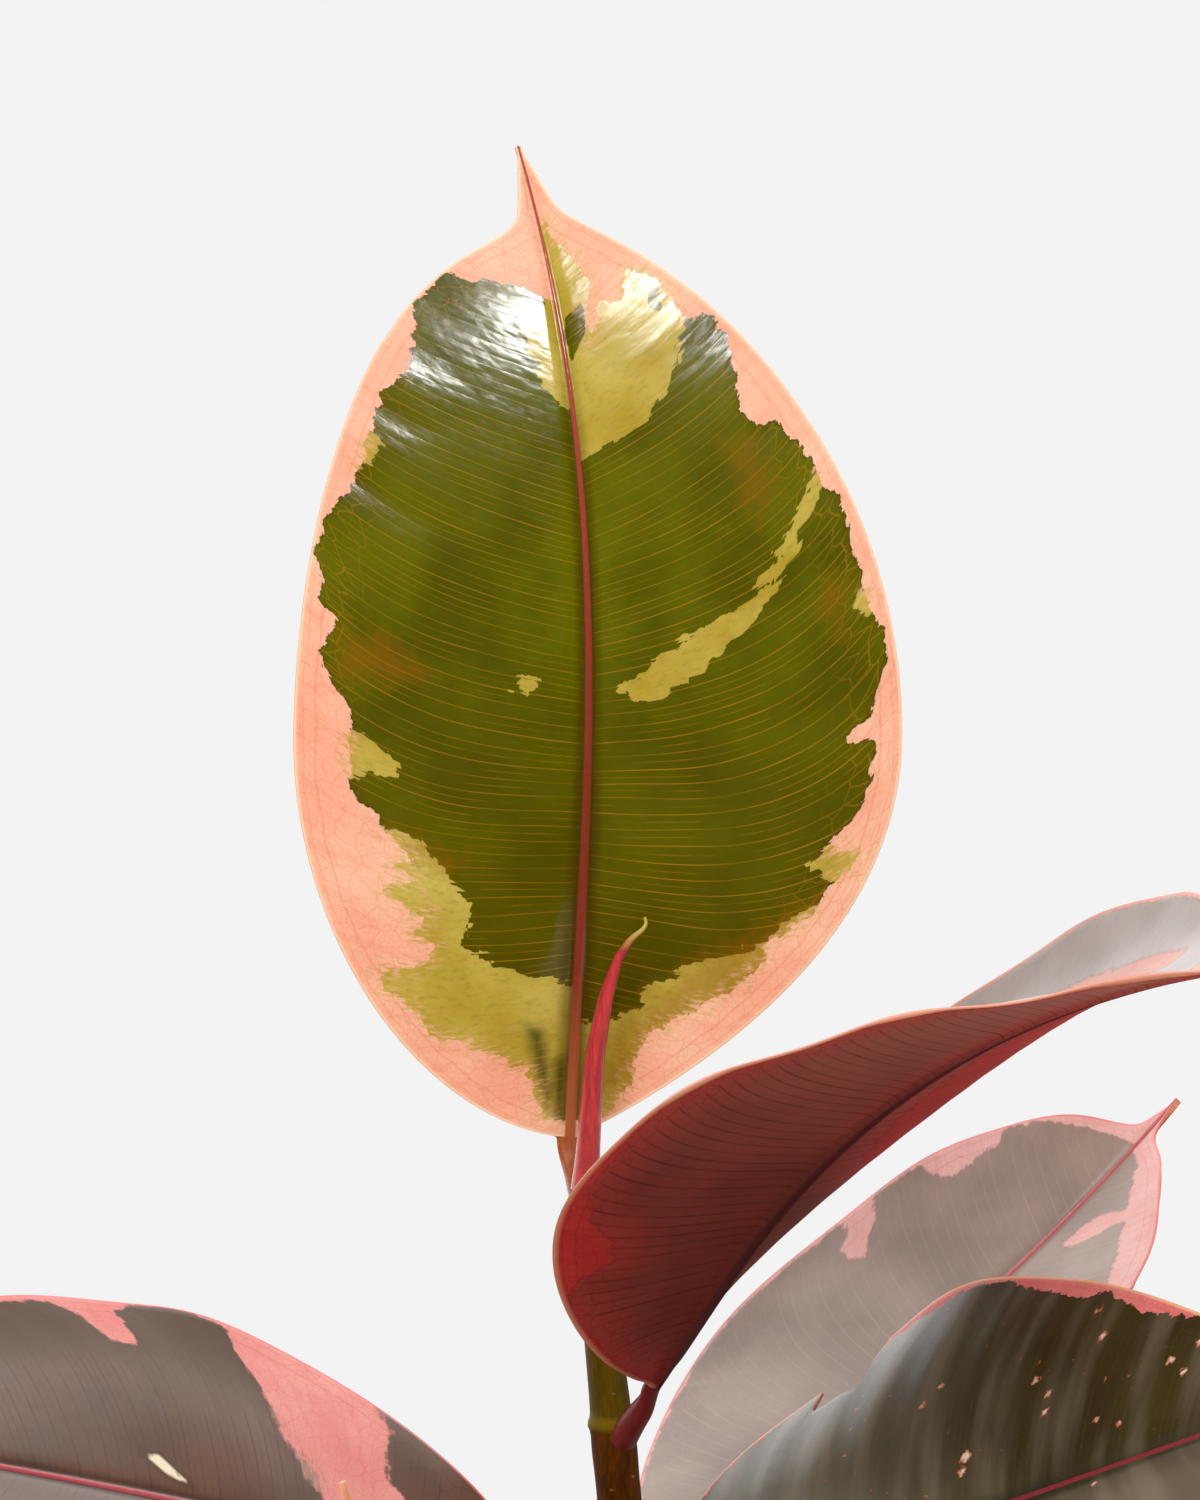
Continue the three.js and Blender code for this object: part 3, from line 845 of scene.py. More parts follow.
leaves = {
    "leaf_01": {
        "node": 281, "stalkRadius": 1.35, "rows": 224, "columns": 44,
        "spine": ((-14.3, 7, 293.7), (-12.3, 3.1, 343.9), (-6, 6.1, 388.1), (-22.6, 27.9, 447.2)),
        "face": ((0, -1, 0), (0, -1, 0.05), (0, -1, 0.3)),
        "left": bladeHalf(44.5, (8, 6, 4), outline=(0.39, 0.907, 0.83, 0.57, 0.46)),
        "right": bladeHalf(47.4, (8, 6, 4), outline=(0.39, 0.926, 0.89, 0.92, 0.88)),
        "quilt": 0.02, "wave": 0.08,
        "swell": {
            "left": {"crease": 86, "spacing": 13.6, "height": 0.3, "across": (16, 32), "from": (62, 84)},
            "right": {"crease": 91, "spacing": 15.5, "height": 0.14, "across": (16, 32), "from": (70, 95)},
        },
    },
    "leaf_02": {
        "node": 248.5, "stalkRadius": 1.85, "ribDepth": 0.9,
        "spine": ((-1.9, -7.9, 259), (6.9, -17, 272.6), (23.7, -54.7, 317.6), (73, -110.9, 326.8)),
        "face": ((-0.19, -0.26, 0.93), (0.04, 0.29, 0.99), (0.01, -0.33, 0.97)),
        "left": bladeHalf(40, (14.4, -32.1, 11.6), (1.84, 2.32)),
        "right": bladeHalf(40, (14.9, -6.3, 6.5), (0, 0)),
    },
    "leaf_03": {
        "node": 219,
        "spine": ((-20.2, -15, 231.2), (-59.4, -25.1, 241), (-47.2, -45, 246), (-150.1, -47.1, 263.1)),
        "face": ((0.08, -0.66, 0.96), (0.08, -0.54, 1.03), (-0.19, -0.48, 1.06)),
        "left": bladeHalf(42),
        "right": bladeHalf(42, (13, 6, 0), (-0.13, -0.28)),
    },
    "leaf_04": {
        "node": 204,
        "spine": ((-0.7, 26.2, 223.1), (25.4, 47.5, 242.3), (56, 69.2, 259.1), (87.2, 76.2, 293.9)),
        "face": ((-0.4, -0.38, 0.52), (-0.39, -0.45, 0.53), (-0.51, -0.44, 0.45)),
        "left": bladeHalf(36.3, (0, 2, 24), (0, 0), outline=(0.44, 0.93, 0.95, 0.78, 0.52)),
        "right": bladeHalf(38, (0, 4, 24), (0, 0), outline=(0.44, 0.93, 0.95, 0.78, 0.52)),
    },
    "leaf_05": {
        "node": 190, "quilt": 0.2,
        "spine": ((-1.6, -15.8, 228.3), (29.9, -42.7, 239.2), (57.9, -59.9, 255.6), (96.9, -80.5, 272.7)),
        "face": ((-0.25, -0.61, 0.78), (0.15, -0.76, 0.49), (0.18, -0.54, 0.74)),
        "left": bladeHalf(40.9, (18.4, 17.5, 11.3), (-1.41, 0.2), outline=(0.3, 0.89, 0.97, 0.48, 0.9),
                          bite={"from": 20, "to": 35, "depth": 11.5}),
        "right": bladeHalf(40, outline=(0.44, 0.91, 0.95, 0.6, 0.49)),
    },
    "leaf_08": {
        "node": 152,
        "spine": ((-9, -30, 168), (-17, -66, 186), (-33, -93, 222), (-42.2, -95, 259.6)),
        "face": ((0.35, 0.7, 0.9), (0.35, 0.75, 0.6), (0.35, 0.75, 0.3)),
        "left": bladeHalf(34), "right": bladeHalf(34),
    },
}

# The lower leaves arch out by a rule: rise and droop are the climb at the blade's base and at its tip.
archOrder = ("node", "azimuth", "stalk", "climb", "length", "rise", "droop", "half", "roll")
archedLeaves = {
    "leaf_06": (176, 150, 34, 35, 138, 20, -20, 42, 0.1),
    "leaf_07": (163, 12, 36, 30, 145, 14, -24, 43, -0.1),
    "leaf_09": (142, 95, 34, 26, 140, 14, -26, 42, 0.15),
    "leaf_10": (133, -38, 36, 24, 140, 12, -26, 42, -0.1),
    "leaf_11": (126, -178, 34, 24, 134, 12, -28, 40, 0.1),
}


def heading(azimuth, climb):
    return np.array([math.cos(azimuth * degree) * math.cos(climb * degree),
                     math.sin(azimuth * degree) * math.cos(climb * degree), math.sin(climb * degree)])


def archedLeaf(values):
    rule = dict(zip(archOrder, values))
    azimuth, third = rule["azimuth"], rule["length"] / 3
    spine = [stemAxis(rule["node"]) + heading(azimuth, rule["climb"]) * rule["stalk"]]
    for climb in (rule["rise"], (rule["rise"] + rule["droop"]) / 2, rule["droop"]):
        spine.append(spine[-1] + heading(azimuth, climb) * third)
    face = (math.sin(azimuth * degree) * rule["roll"], -math.cos(azimuth * degree) * rule["roll"], 1)
    side = bladeHalf(rule["half"], (12, 9, 4), (-0.15, -0.2))
    return {"node": rule["node"], "spine": spine, "face": (face, face, face), "left": side, "right": side}


def widthAt(s, shape):
    # half the blade's width as a share of its greatest: a round part and a drip tip
    widest, end, drip, basePower, tipPower = shape
    u = np.where(s < widest, (widest - s) / widest, (s - widest) / (end - widest))
    body = np.clip(1 - np.clip(u, 0, 1) ** 2, 0, 1) ** np.where(s < widest, basePower, tipPower)
    point = drip * (1 - s) * smooth(*blade["dripFrom"], s)
    blend = blade["dripBlend"]
    return (body ** blend + point ** blend) ** (1 / blend)


def easedWidth(s, shape):
    # the same, with the corners beside the drip tip eased by a bell-shaped average
    fine = np.linspace(-0.04, 1.04, 1081)
    raw = widthAt(np.clip(fine, 0, 1), shape)
    reach = np.arange(-36, 37)
    bell = np.exp(-(reach / 14) ** 2)
    eased = np.convolve(raw, bell / bell.sum(), mode="same")
    ease = smooth(*blade["easeFrom"], fine)
    return np.interp(s, fine, raw + (eased - raw) * ease)


def spineFrames(leaf, s):
    fine = np.linspace(0, 1, 400)
    path = along(leaf["spine"], fine)
    arc = np.concatenate([[0], np.cumsum(np.linalg.norm(np.diff(path, axis=0), axis=1))])
    u = np.interp(s * arc[-1], arc, fine)
    tangent = unit(along(np.diff(np.array(leaf["spine"], float), axis=0), u))
    look = along(leaf["face"], s)
    normal = unit(look - (look * tangent).sum(-1, keepdims=True) * tangent)
    return along(leaf["spine"], u), tangent, normal, np.cross(tangent, normal), arc[-1]


def veinPlace(s, away, length):
    # the distance along the midrib from which the side vein through a point sets out
    slope = along(blade["veinSlope"], s)
    return s * length - slope * away - blade["veinCurve"] * away ** 3 / blade["veinReach"] ** 2


def insideDepth(points, outline):
    # millimetres inside a closed outline, negative outside it
    corners = np.array(outline, float)
    depth = np.full(len(points), 1e6)
    inside = np.zeros(len(points), bool)
    for start, end in zip(corners, np.roll(corners, -1, 0)):
        edge = end - start
        share = np.clip((points - start) @ edge / max(edge @ edge, 1e-9), 0, 1)
        depth = np.minimum(depth, np.linalg.norm(points - start - share[:, None] * edge, axis=1))
        crosses = (start[1] > points[:, 1]) != (end[1] > points[:, 1])
        height = edge[1] if abs(edge[1]) > 1e-9 else 1e-9
        inside ^= crosses & (points[:, 0] < start[0] + (points[:, 1] - start[1]) / height * edge[0])
    return np.where(inside, depth, -depth)


# Markings of the top leaf: millimetres across from the midrib, left negative, and along from the base.
# A list that starts and ends by the midrib is closed across it.
topMarks = {
    "inside": [
        [(5, 129), (-1, 130), (-5, 133), (-9, 135), (-11, 137), (-12, 135), (-15, 138), (-18, 136),
         (-22, 134), (-22, 130), (-24, 122), (-27, 120), (-29, 118), (-31, 112), (-33, 107), (-34, 104),
         (-37, 100), (-39, 97), (-41, 92), (-40, 86), (-41, 83), (-38, 79), (-41, 74), (-39, 69),
         (-36, 64), (-36, 52), (-33, 49), (-29, 44), (-26, 41), (-29, 40), (-25, 38), (-31, 37), (-26, 33),
         (-23, 33), (-25, 30), (-22, 28), (-24, 25), (-30, 24), (-29, 21), (-24, 18), (-22, 15), (-14, 13),
         (-7, 10), (-4, 3), (5, 2)],
        [(-5, 143), (1, 143), (3, 138), (6, 132), (5, 129), (4, 125), (4, 122), (7, 128), (10, 128),
         (12, 133), (16, 130), (19, 124), (23, 123), (25, 120), (25, 109), (28, 106), (31, 106), (34, 102),
         (37, 97), (40, 93), (40, 88), (42, 84), (42, 79), (45, 76), (45, 71), (43, 65), (39, 61),
         (44, 61), (43, 55), (41, 51), (38, 48), (36, 45), (42, 46), (41, 43), (38, 41), (34, 35),
         (28, 31), (28, 28), (23, 24), (12, 17), (9, 12), (9, 9), (5, 3), (-5, 2)],
    ],
    "pale": [
        [(5, 133), (-1, 131), (-6, 125), (-5, 120), (-4, 116), (-1, 112), (5, 112)],
        [(-36, 111), (-31, 111), (-30, 109), (-31, 106), (-37, 106)],
        [(-40, 61), (-34, 61), (-30, 57), (-28, 54), (-36, 54), (-40, 56)],
        [(5, 24), (-3, 24), (-12, 26), (-18, 28), (-17, 32), (-16, 35), (-20, 38), (-24, 43), (-28, 46),
         (-50, 40), (-50, -9), (5, -9)],
        [(-12, 68), (-10, 70), (-8, 69), (-8, 67), (-10, 67)],
        [(-4, 147), (5, 147), (9, 134), (14, 137), (20, 130), (19, 124), (18, 119), (15, 113), (11, 108),
         (2, 104), (-4, 101)],
        [(36, 100), (34, 95), (28, 86), (24, 80), (12, 74), (4, 68), (10, 66), (18, 71), (25, 77),
         (30, 84), (33, 90), (37, 97)],
        [(34, 43), (38, 47), (46, 49), (46, 40), (39, 40)],
        [(40, 79), (41, 82), (47, 83), (47, 78)],
        [(-4, 17), (6, 18), (12, 24), (19, 28), (29, 32), (34, 37), (50, 37), (50, -9), (-4, -9)],
    ],
    "dark": [
        [(4, 129), (1, 127), (0.3, 124), (1, 120), (4, 125)],
        [(16, 130), (14, 128), (14, 126), (16, 125)],
        [(-7.5, 17), (-5, 16), (-3.2, 8), (-3.4, 4), (-5, 8)],
        [(-3, 12), (-1, 12), (-1, 3), (-2.4, 4)],
    ],
    "brown": [
        [(22, 104), (27, 104), (30, 98), (27, 91), (24, 95)],
        [(-38, 78), (-28, 76), (-24, 70), (-30, 68), (-38, 70)],
        [(-30, 46), (-18, 42), (-20, 38), (-31, 44)],
        [(36, 84), (40, 82), (38, 76), (35, 78)],
        [(4, 8), (8, 20), (20, 30), (36, 39), (40, 34), (28, 20), (14, 6)],
    ],
}


# Markings of the leaves below it.
# A margin is a list of places along the blade and the pink's depth there.
lowerMarks = {
    "leaf_02": {
        "left": [(0, 0.3), (128, 0.3), (138, 4), (148, 4)],
        "right": [(0, 0.8), (25, 0.8), (28, 1.5), (31, 6), (34, 9), (38, 8.5), (41, 7), (45, 4.5),
                  (49, 3.5), (52, 2), (64, 2.2), (68, 0.8), (148, 0.8)],
        "pink": [[(-31, 74), (-27, 76), (-21, 92), (-14, 108), (-9, 122), (-13, 124), (-19, 110),
                  (-25, 95)]],
        # the far strip of the underside, painted crimson as light coming red through it
        "glow": [(-9, 52), (-6, 62), (-4, 75), (-3, 90), (-2.5, 105), (-3, 120), (-5, 134), (-45, 134),
                 (-45, 40), (-16, 46)],
    },
    "leaf_03": {
        "left": [(0, 3), (30, 8), (60, 3), (85, 6), (110, 3), (140, 2)],
        "inside": [
            [(-3, 30), (8, 32), (12, 33), (14, 35), (18, 37), (23, 38), (27, 39), (30, 41), (34, 43),
             (39, 44), (41, 49), (42, 54), (42, 59), (41, 64), (39, 66), (36, 64), (32, 62), (31, 64),
             (32, 67), (34, 70), (37, 73), (38, 77), (38, 81), (37, 86), (34, 96), (28, 108), (18, 122),
             (-3, 130)],
            [(28, 21), (26, 17), (23, 13), (19, 10), (15, 8), (8, 4), (-3, 2), (-3, 26), (6, 22), (10, 19),
             (13, 21), (19, 20), (23, 19)],
        ],
        "pale": [[(23, 38), (23, 33), (18, 32), (15, 30), (11, 28), (8, 26), (4, 28), (8, 33), (14, 36)]],
        "brown": [[(7.8, 61.5), (8, 59), (5, 56), (3.2, 54), (4.4, 57.6)]],
    },
    "leaf_04": {
        "left": [(0, 0.7), (108, 0.7), (116, 4), (125, 4)],
        "right": [(0, 2), (40, 3), (70, 5), (83, 6.5), (94, 8), (104, 8), (112, 5), (125, 4)],
        "pink": [
            [(-37, 79), (-31, 74), (-29, 71), (-26, 70), (-24, 72), (-27, 76), (-29, 79), (-32, 82),
             (-37, 85)],
            [(-29, 90), (-25, 90), (-22, 92), (-21, 98), (-20, 101), (-22, 105), (-29, 102)],
            [(18, 103), (9, 99), (6, 95), (6, 91), (8, 91), (11, 93), (14, 97), (18, 100)],
        ],
    },
    "leaf_05": {
        "left": [(0, 0.6), (30, 0.8), (36, 2.2), (48, 2.6), (55, 1), (66, 0.8), (70, 2.2), (78, 2.8),
                 (83, 1.2), (88, 2.8), (95, 0.8), (112, 0.8), (118, 4), (126, 4)],
        "right": [(0, 1), (60, 1.5), (112, 1.5), (118, 4), (126, 4)],
    },
}


def bestDepth(outlines, d, a):
    points = np.stack([d, a], 1)
    best = np.full(len(points), -50.0)
    for outline in outlines:
        middle = np.mean([corner[0] for corner in outline])
        here = np.sign(d) != -np.sign(middle)
        best[here] = np.maximum(best[here], insideDepth(points[here], outline))
    return best


def markFields(marks, d, edge, a):
    # how deep each point lies in the coloured middle, the pale patches, the dark spots and the brown blush
    inside = bestDepth(marks.get("inside", []), d, a)
    for side, label in ((-1, "left"), (1, "right")):
        if label in marks:
            here = np.sign(d) == side
            places, depths = np.array(marks[label], float).T
            inside[here] = edge[here] - np.interp(a[here], places, depths)
    inside = np.minimum(inside, -bestDepth(marks.get("pink", []), d, a))
    inside[d == 0] = np.maximum(inside[d == 0], 5)
    pale, dark, brown = (bestDepth(marks.get(label, []), d, a) for label in ("pale", "dark", "brown"))
    return np.stack([inside, pale, dark], 1), brown


margins = {
    "depth": 6.0, "waves": ((60, 2.5), (27, 2.2), (11, 1.2), (6, 0.8)),  # length and height of each
    "tongues": 3, "tonguePlace": (15, 125), "tongueDepth": (4, 13), "tongueReach": (3, 8),
    "outside": -20.0,
}


def marginFields(seed, d, edge, v):
    # a pink margin of uneven depth with pale islands beside it
    rng = np.random.default_rng(seed)
    depth = np.zeros_like(d)
    for side in (-1, 1):
        here = np.sign(d) == side
        margin = np.full(here.sum(), margins["depth"])
        for length, size in margins["waves"]:
            margin = margin + size * np.sin(v[here] * 2 * math.pi / length + rng.uniform(0, 6.3))
        for _ in range(margins["tongues"]):
            middle, size, reach = (rng.uniform(*margins[key])
                                   for key in ("tonguePlace", "tongueDepth", "tongueReach"))
            margin = margin + size * np.exp(-((v[here] - middle) / reach) ** 2)
        depth[here] = edge[here] - margin
    depth[d == 0] = 20
    pale = 2.0 * np.sin(v / 9 + seed) + 1.6 * np.sin(d / 5 + seed * 2) - np.abs(depth - 1.5) - 0.4
    outside = np.full_like(d, margins["outside"])
    return np.stack([depth, pale, outside], 1), outside.copy()


def bladeRows(leaf):
    # the midrib's places, directions and sizes, closer together near the base
    count = leaf.get("rows", blade["rows"])
    s = blade["firstRow"] + (1 - blade["firstRow"]) * np.linspace(0, 1, count) ** blade["crowding"]
    centre, tangent, normal, side, length = spineFrames(leaf, s)
    fullDepth = leaf.get("ribDepth", blade["ribDepth"])
    return SimpleNamespace(
        s=s, centre=centre, tangent=tangent, normal=normal, side=side, length=length,
        ribHalf=blade["ribTipHalf"] + (blade["ribHalf"] - blade["ribTipHalf"]) * (1 - s),
        ribDepth=blade["ribTipDepth"] + (fullDepth - blade["ribTipDepth"]) * (1 - s),
    )


def halfBlade(leaf, rows, sign):
    # one side of the blade, in columns from the midrib out to the margin
    half = leaf["left"] if sign < 0 else leaf["right"]
    outer = leaf.get("columns", blade["columns"])
    spot = rows.s * rows.length
    width = half["half"] * easedWidth(rows.s, half.get("outline", blade["outline"]))
    reach = np.maximum(width, rows.ribHalf * (1 + blade["shoulder"]))
    inner = np.minimum(blade["innerReach"] * rows.ribHalf, 0.5 * reach)
    near = inner[:, None] * np.array(blade["innerShares"])
    far = inner[:, None] + (reach - inner)[:, None] * (np.arange(1, outer + 1) / outer)
    away = np.concatenate([near, far], 1)
    bite = half.get("bite")
    if bite:
        # an old tear in the margin
        tear = smooth(bite["from"], bite["from"] + 1.5, spot) * smooth(bite["to"], bite["to"] - 2.5, spot)
        tear = tear * np.interp(spot, (bite["from"], bite["to"]), (0.6, 1))
        away = away - smooth(0.4, 1, away / reach[:, None]) * (bite["depth"] * tear)[:, None]
    fold = (along(half["fold"], rows.s) * degree)[:, None]
    curl = (along(half["curl"], rows.s) * degree)[:, None]
    curl = np.where(np.abs(curl) < 1e-6, 1e-6, curl)
    angle = fold + curl * away
    slope = np.gradient(reach, spot)
    return {
        "away": away, "reach": reach, "angle": angle,
        "sideways": (np.sin(angle) - np.sin(fold)) / curl * sign,
        "up": (np.cos(fold) - np.cos(angle)) / curl,
        "edge": (reach[:, None] - away) / np.sqrt(1 + slope[:, None] ** 2),
    }


def bladeLift(leaf, rows, sign, v, away, share):
    # the low relief of the upper side: quilting, waves, swellings, and the midrib's bead in its groove
    ribHalf = rows.ribHalf[:, None]
    quilt = np.sin(v * 2 * math.pi / blade["quiltEvery"] + 1.1 * sign)
    lift = leaf.get("quilt", blade["quilt"]) * quilt * share * (1 - share ** 4)
    wave = np.sin(v * 2 * math.pi / blade["waveEvery"] + sign)
    lift += leaf.get("wave", blade["wave"]) * wave * share ** 4
    swell = leaf.get("swell", {}).get("left" if sign < 0 else "right")
    if swell:
        bulge = np.abs(np.sin((v - swell["crease"]) * math.pi / swell["spacing"]))
        lift += swell["height"] * bulge * smooth(*swell["across"], away) * smooth(*swell["from"], v)
    groove = blade["grooveDepth"] * np.exp(-(away / (blade["grooveReach"] * ribHalf)) ** 2)
    bead = blade["beadHeight"] * np.exp(-(away / (blade["beadReach"] * ribHalf)) ** 4)
    return lift + (bead - groove) * smooth(0, blade["beadFrom"], rows.s)[:, None]


def layColumns(leaf, rows, half, sign, columns, under):
    # points of the upper or the lower side, with their places on the blade and at its margin
    part = {key: value if value.ndim == 1 else value[:, columns] for key, value in half.items()}
    away, angle = part["away"], part["angle"]
    share = away / part["reach"][:, None]
    normal, side, s = rows.normal[:, None], rows.side[:, None], rows.s[:, None]
    outward = side * (sign * np.sin(angle))[..., None] - normal * np.cos(angle)[..., None]
    points = rows.centre[:, None] + side * part["sideways"][..., None] + normal * part["up"][..., None]
    v = veinPlace(s, away, rows.length)
    depth = -bladeLift(leaf, rows, sign, v, away, share)
    if under:
        thinning = (blade["edgeThickness"] - blade["thickness"]) * smooth(blade["thinFrom"], 1, share)
        ribShare = away / (blade["ribSpread"] * rows.ribHalf[:, None])
        rib = rows.ribDepth[:, None] * np.sqrt(np.clip(1 - ribShare ** 2, 0, 1))
        depth = np.maximum(depth, -0.2) + (blade["thickness"] + thinning) + rib
    place = np.stack([v, sign * away, np.broadcast_to(s * rows.length, away.shape)], -1)
    margin = np.stack([part["edge"], np.broadcast_to(s, away.shape), np.zeros_like(away)], -1)
    return points + outward * depth[..., None], place, margin


def bladeRings(leaf, rows):
    # closed rings round the blade: over the top from the left margin, and back underneath
    halves = {sign: halfBlade(leaf, rows, sign) for sign in (-1, 1)}
    count = halves[1]["away"].shape[1]
    order = np.arange(count)

    def lay(sign, columns, under):
        return layColumns(leaf, rows, halves[sign], sign, columns, under)

    def edgeColumn(sign):
        upper, place, margin = lay(sign, slice(count - 1, count), False)
        lower = lay(sign, slice(count - 1, count), True)[0]
        outward = unit(upper - lay(sign, slice(count - 2, count - 1), False)[0])
        return (upper + lower) / 2 + outward * blade["edgeRound"], place, margin

    s = rows.s
    place = np.stack([s * rows.length, 0 * s, s * rows.length], -1)[:, None]
    margin = np.stack([halves[1]["reach"], s, 0 * s], -1)[:, None]
    rise = smooth(0, blade["beadFrom"], s)[:, None] * blade["beadRise"]
    upper = (rows.centre - rows.normal * rise)[:, None]
    lower = (rows.centre - rows.normal * (blade["thickness"] + rows.ribDepth)[:, None])[:, None]
    strips = [
        lay(-1, order[::-1], False), (upper, place, margin), lay(1, order, False), edgeColumn(1),
        lay(1, order[::-1], True), (lower, place, margin), lay(-1, order, True), edgeColumn(-1),
    ]
    return *(np.concatenate([strip[i] for strip in strips], 1) for i in range(3)), count


def stalkRings(leaf, rows, firstRing):
    # rings from inside the stem's skin to the blade, and each ring's distance before the blade
    ringSize = len(firstRing)
    root = stemAxis(leaf["node"])
    base = np.array(leaf["spine"][0], float)
    stretch = np.linalg.norm(base - root) / 3
    leaving = unit(np.array([base[0] - root[0], base[1] - root[1], 0]))
    leaving[2] = blade["stalkRise"]
    path = [root, root + unit(leaving) * stretch, base - rows.tangent[0] * stretch, base]
    fine = np.linspace(0, 1, 200)
    far = np.linalg.norm((along(path, fine) - root)[:, :2], axis=1)
    first = fine[far < stemRadius(leaf["node"]) * blade["stalkSink"]].max()
    radius = leaf.get("stalkRadius", blade["stalkRadius"])
    turn = math.pi * (1 - 1 / ringSize) - 2 * math.pi * np.arange(ringSize) / ringSize
    middle = firstRing.mean(0)
    bladeFoot = middle + (firstRing - middle) * min(1, radius / (rows.ribHalf[0] * (1 + blade["shoulder"])))
    across = rows.side[0]
    rings = []
    for t in np.linspace(blade["stalkEnd"], first, blade["stalkRows"]):
        run = unit(along(np.diff(np.array(path), axis=0), t))
        across = unit(across - across @ run * run)
        up = np.cross(across, run)
        middle = along(path, t) - rows.normal[0] * blade["stalkDrop"] * radius * t
        size = radius * (1 + blade["stalkFoot"] * ((1 - t) / (1 - first)) ** 3)
        bell = np.exp(-((turn - math.pi / 2) / blade["channelHalf"]) ** 2)
        channel = 1 - blade["stalkChannel"] * bell * smooth(0, 0.5, t)
        offset = np.outer(np.cos(turn), across) + np.outer(np.sin(turn), up)
        ring = middle + offset * (size * channel)[:, None]
        # its end takes on the shape of the blade's first ring
        rings.insert(0, ring + (bladeFoot + along(path, t) - base - ring) * smooth(blade["stalkJoin"], 1, t))
    return np.array(rings), (np.linspace(first, blade["stalkEnd"], blade["stalkRows"]) - 1) * 3 * stretch


def leafPiece(name, leaf, materials, fields, glow):
    rows = bladeRows(leaf)
    ringPoints, ringPlaces, ringEdges, count = bladeRings(leaf, rows)
    stalk, run = stalkRings(leaf, rows, ringPoints[0])
    stalkPlace, stalkEdge = np.zeros_like(stalk), np.zeros_like(stalk)
    stalkPlace[..., 0] = stalkPlace[..., 2] = run[:, None]
    stalkEdge[..., 0], stalkEdge[..., 2] = 20, 1

    points = np.concatenate([stalk, ringPoints]).reshape(-1, 3)
    places = np.concatenate([stalkPlace, ringPlaces]).reshape(-1, 3)
    edges = np.concatenate([stalkEdge, ringEdges]).reshape(-1, 3)
    onStalk = edges[:, 2] > 0
    field, edges[:, 2] = fields(places[:, 1], edges[:, 0], places[:, 0], places[:, 2])
    field[onStalk] = (20, -20, -20)
    total, ringSize = len(stalk) + len(ringPoints), len(ringPoints[0])
    if glow:
        # painted transmitted light: the far strip of the underside is painted crimson where the light comes
        # red through it
        under = np.tile(np.arange(ringSize) > 2 * count + 1, total) & ~onStalk
        strip = insideDepth(places[under, 1:], glow)
        field[under, 0] = np.minimum(field[under, 0], -strip)
        # its pale rim is drawn wider there, partly the margin's own colour and partly a painted lit edge
        edges[under, 0] *= 1 - 0.55 * smooth(0, 1, strip)

    row, column = np.divmod(np.arange((total - 1) * ringSize), ringSize)
    here, beside = row * ringSize + column, row * ringSize + (column + 1) % ringSize
    faces = np.stack([here, beside, beside + ringSize, here + ringSize], 1).tolist()
    slots = np.where(row < len(stalk) - 1, 2, np.where(column <= 2 * count, 0, 1)).tolist()
    lastRing = list(range((total - 1) * ringSize, total * ringSize))
    faces += [list(range(ringSize))[::-1], lastRing]
    slots += [2, 0]
    return makeMesh(name, points, faces, materials, slots,
                    {"place": places, "edge": edges, "field": field})


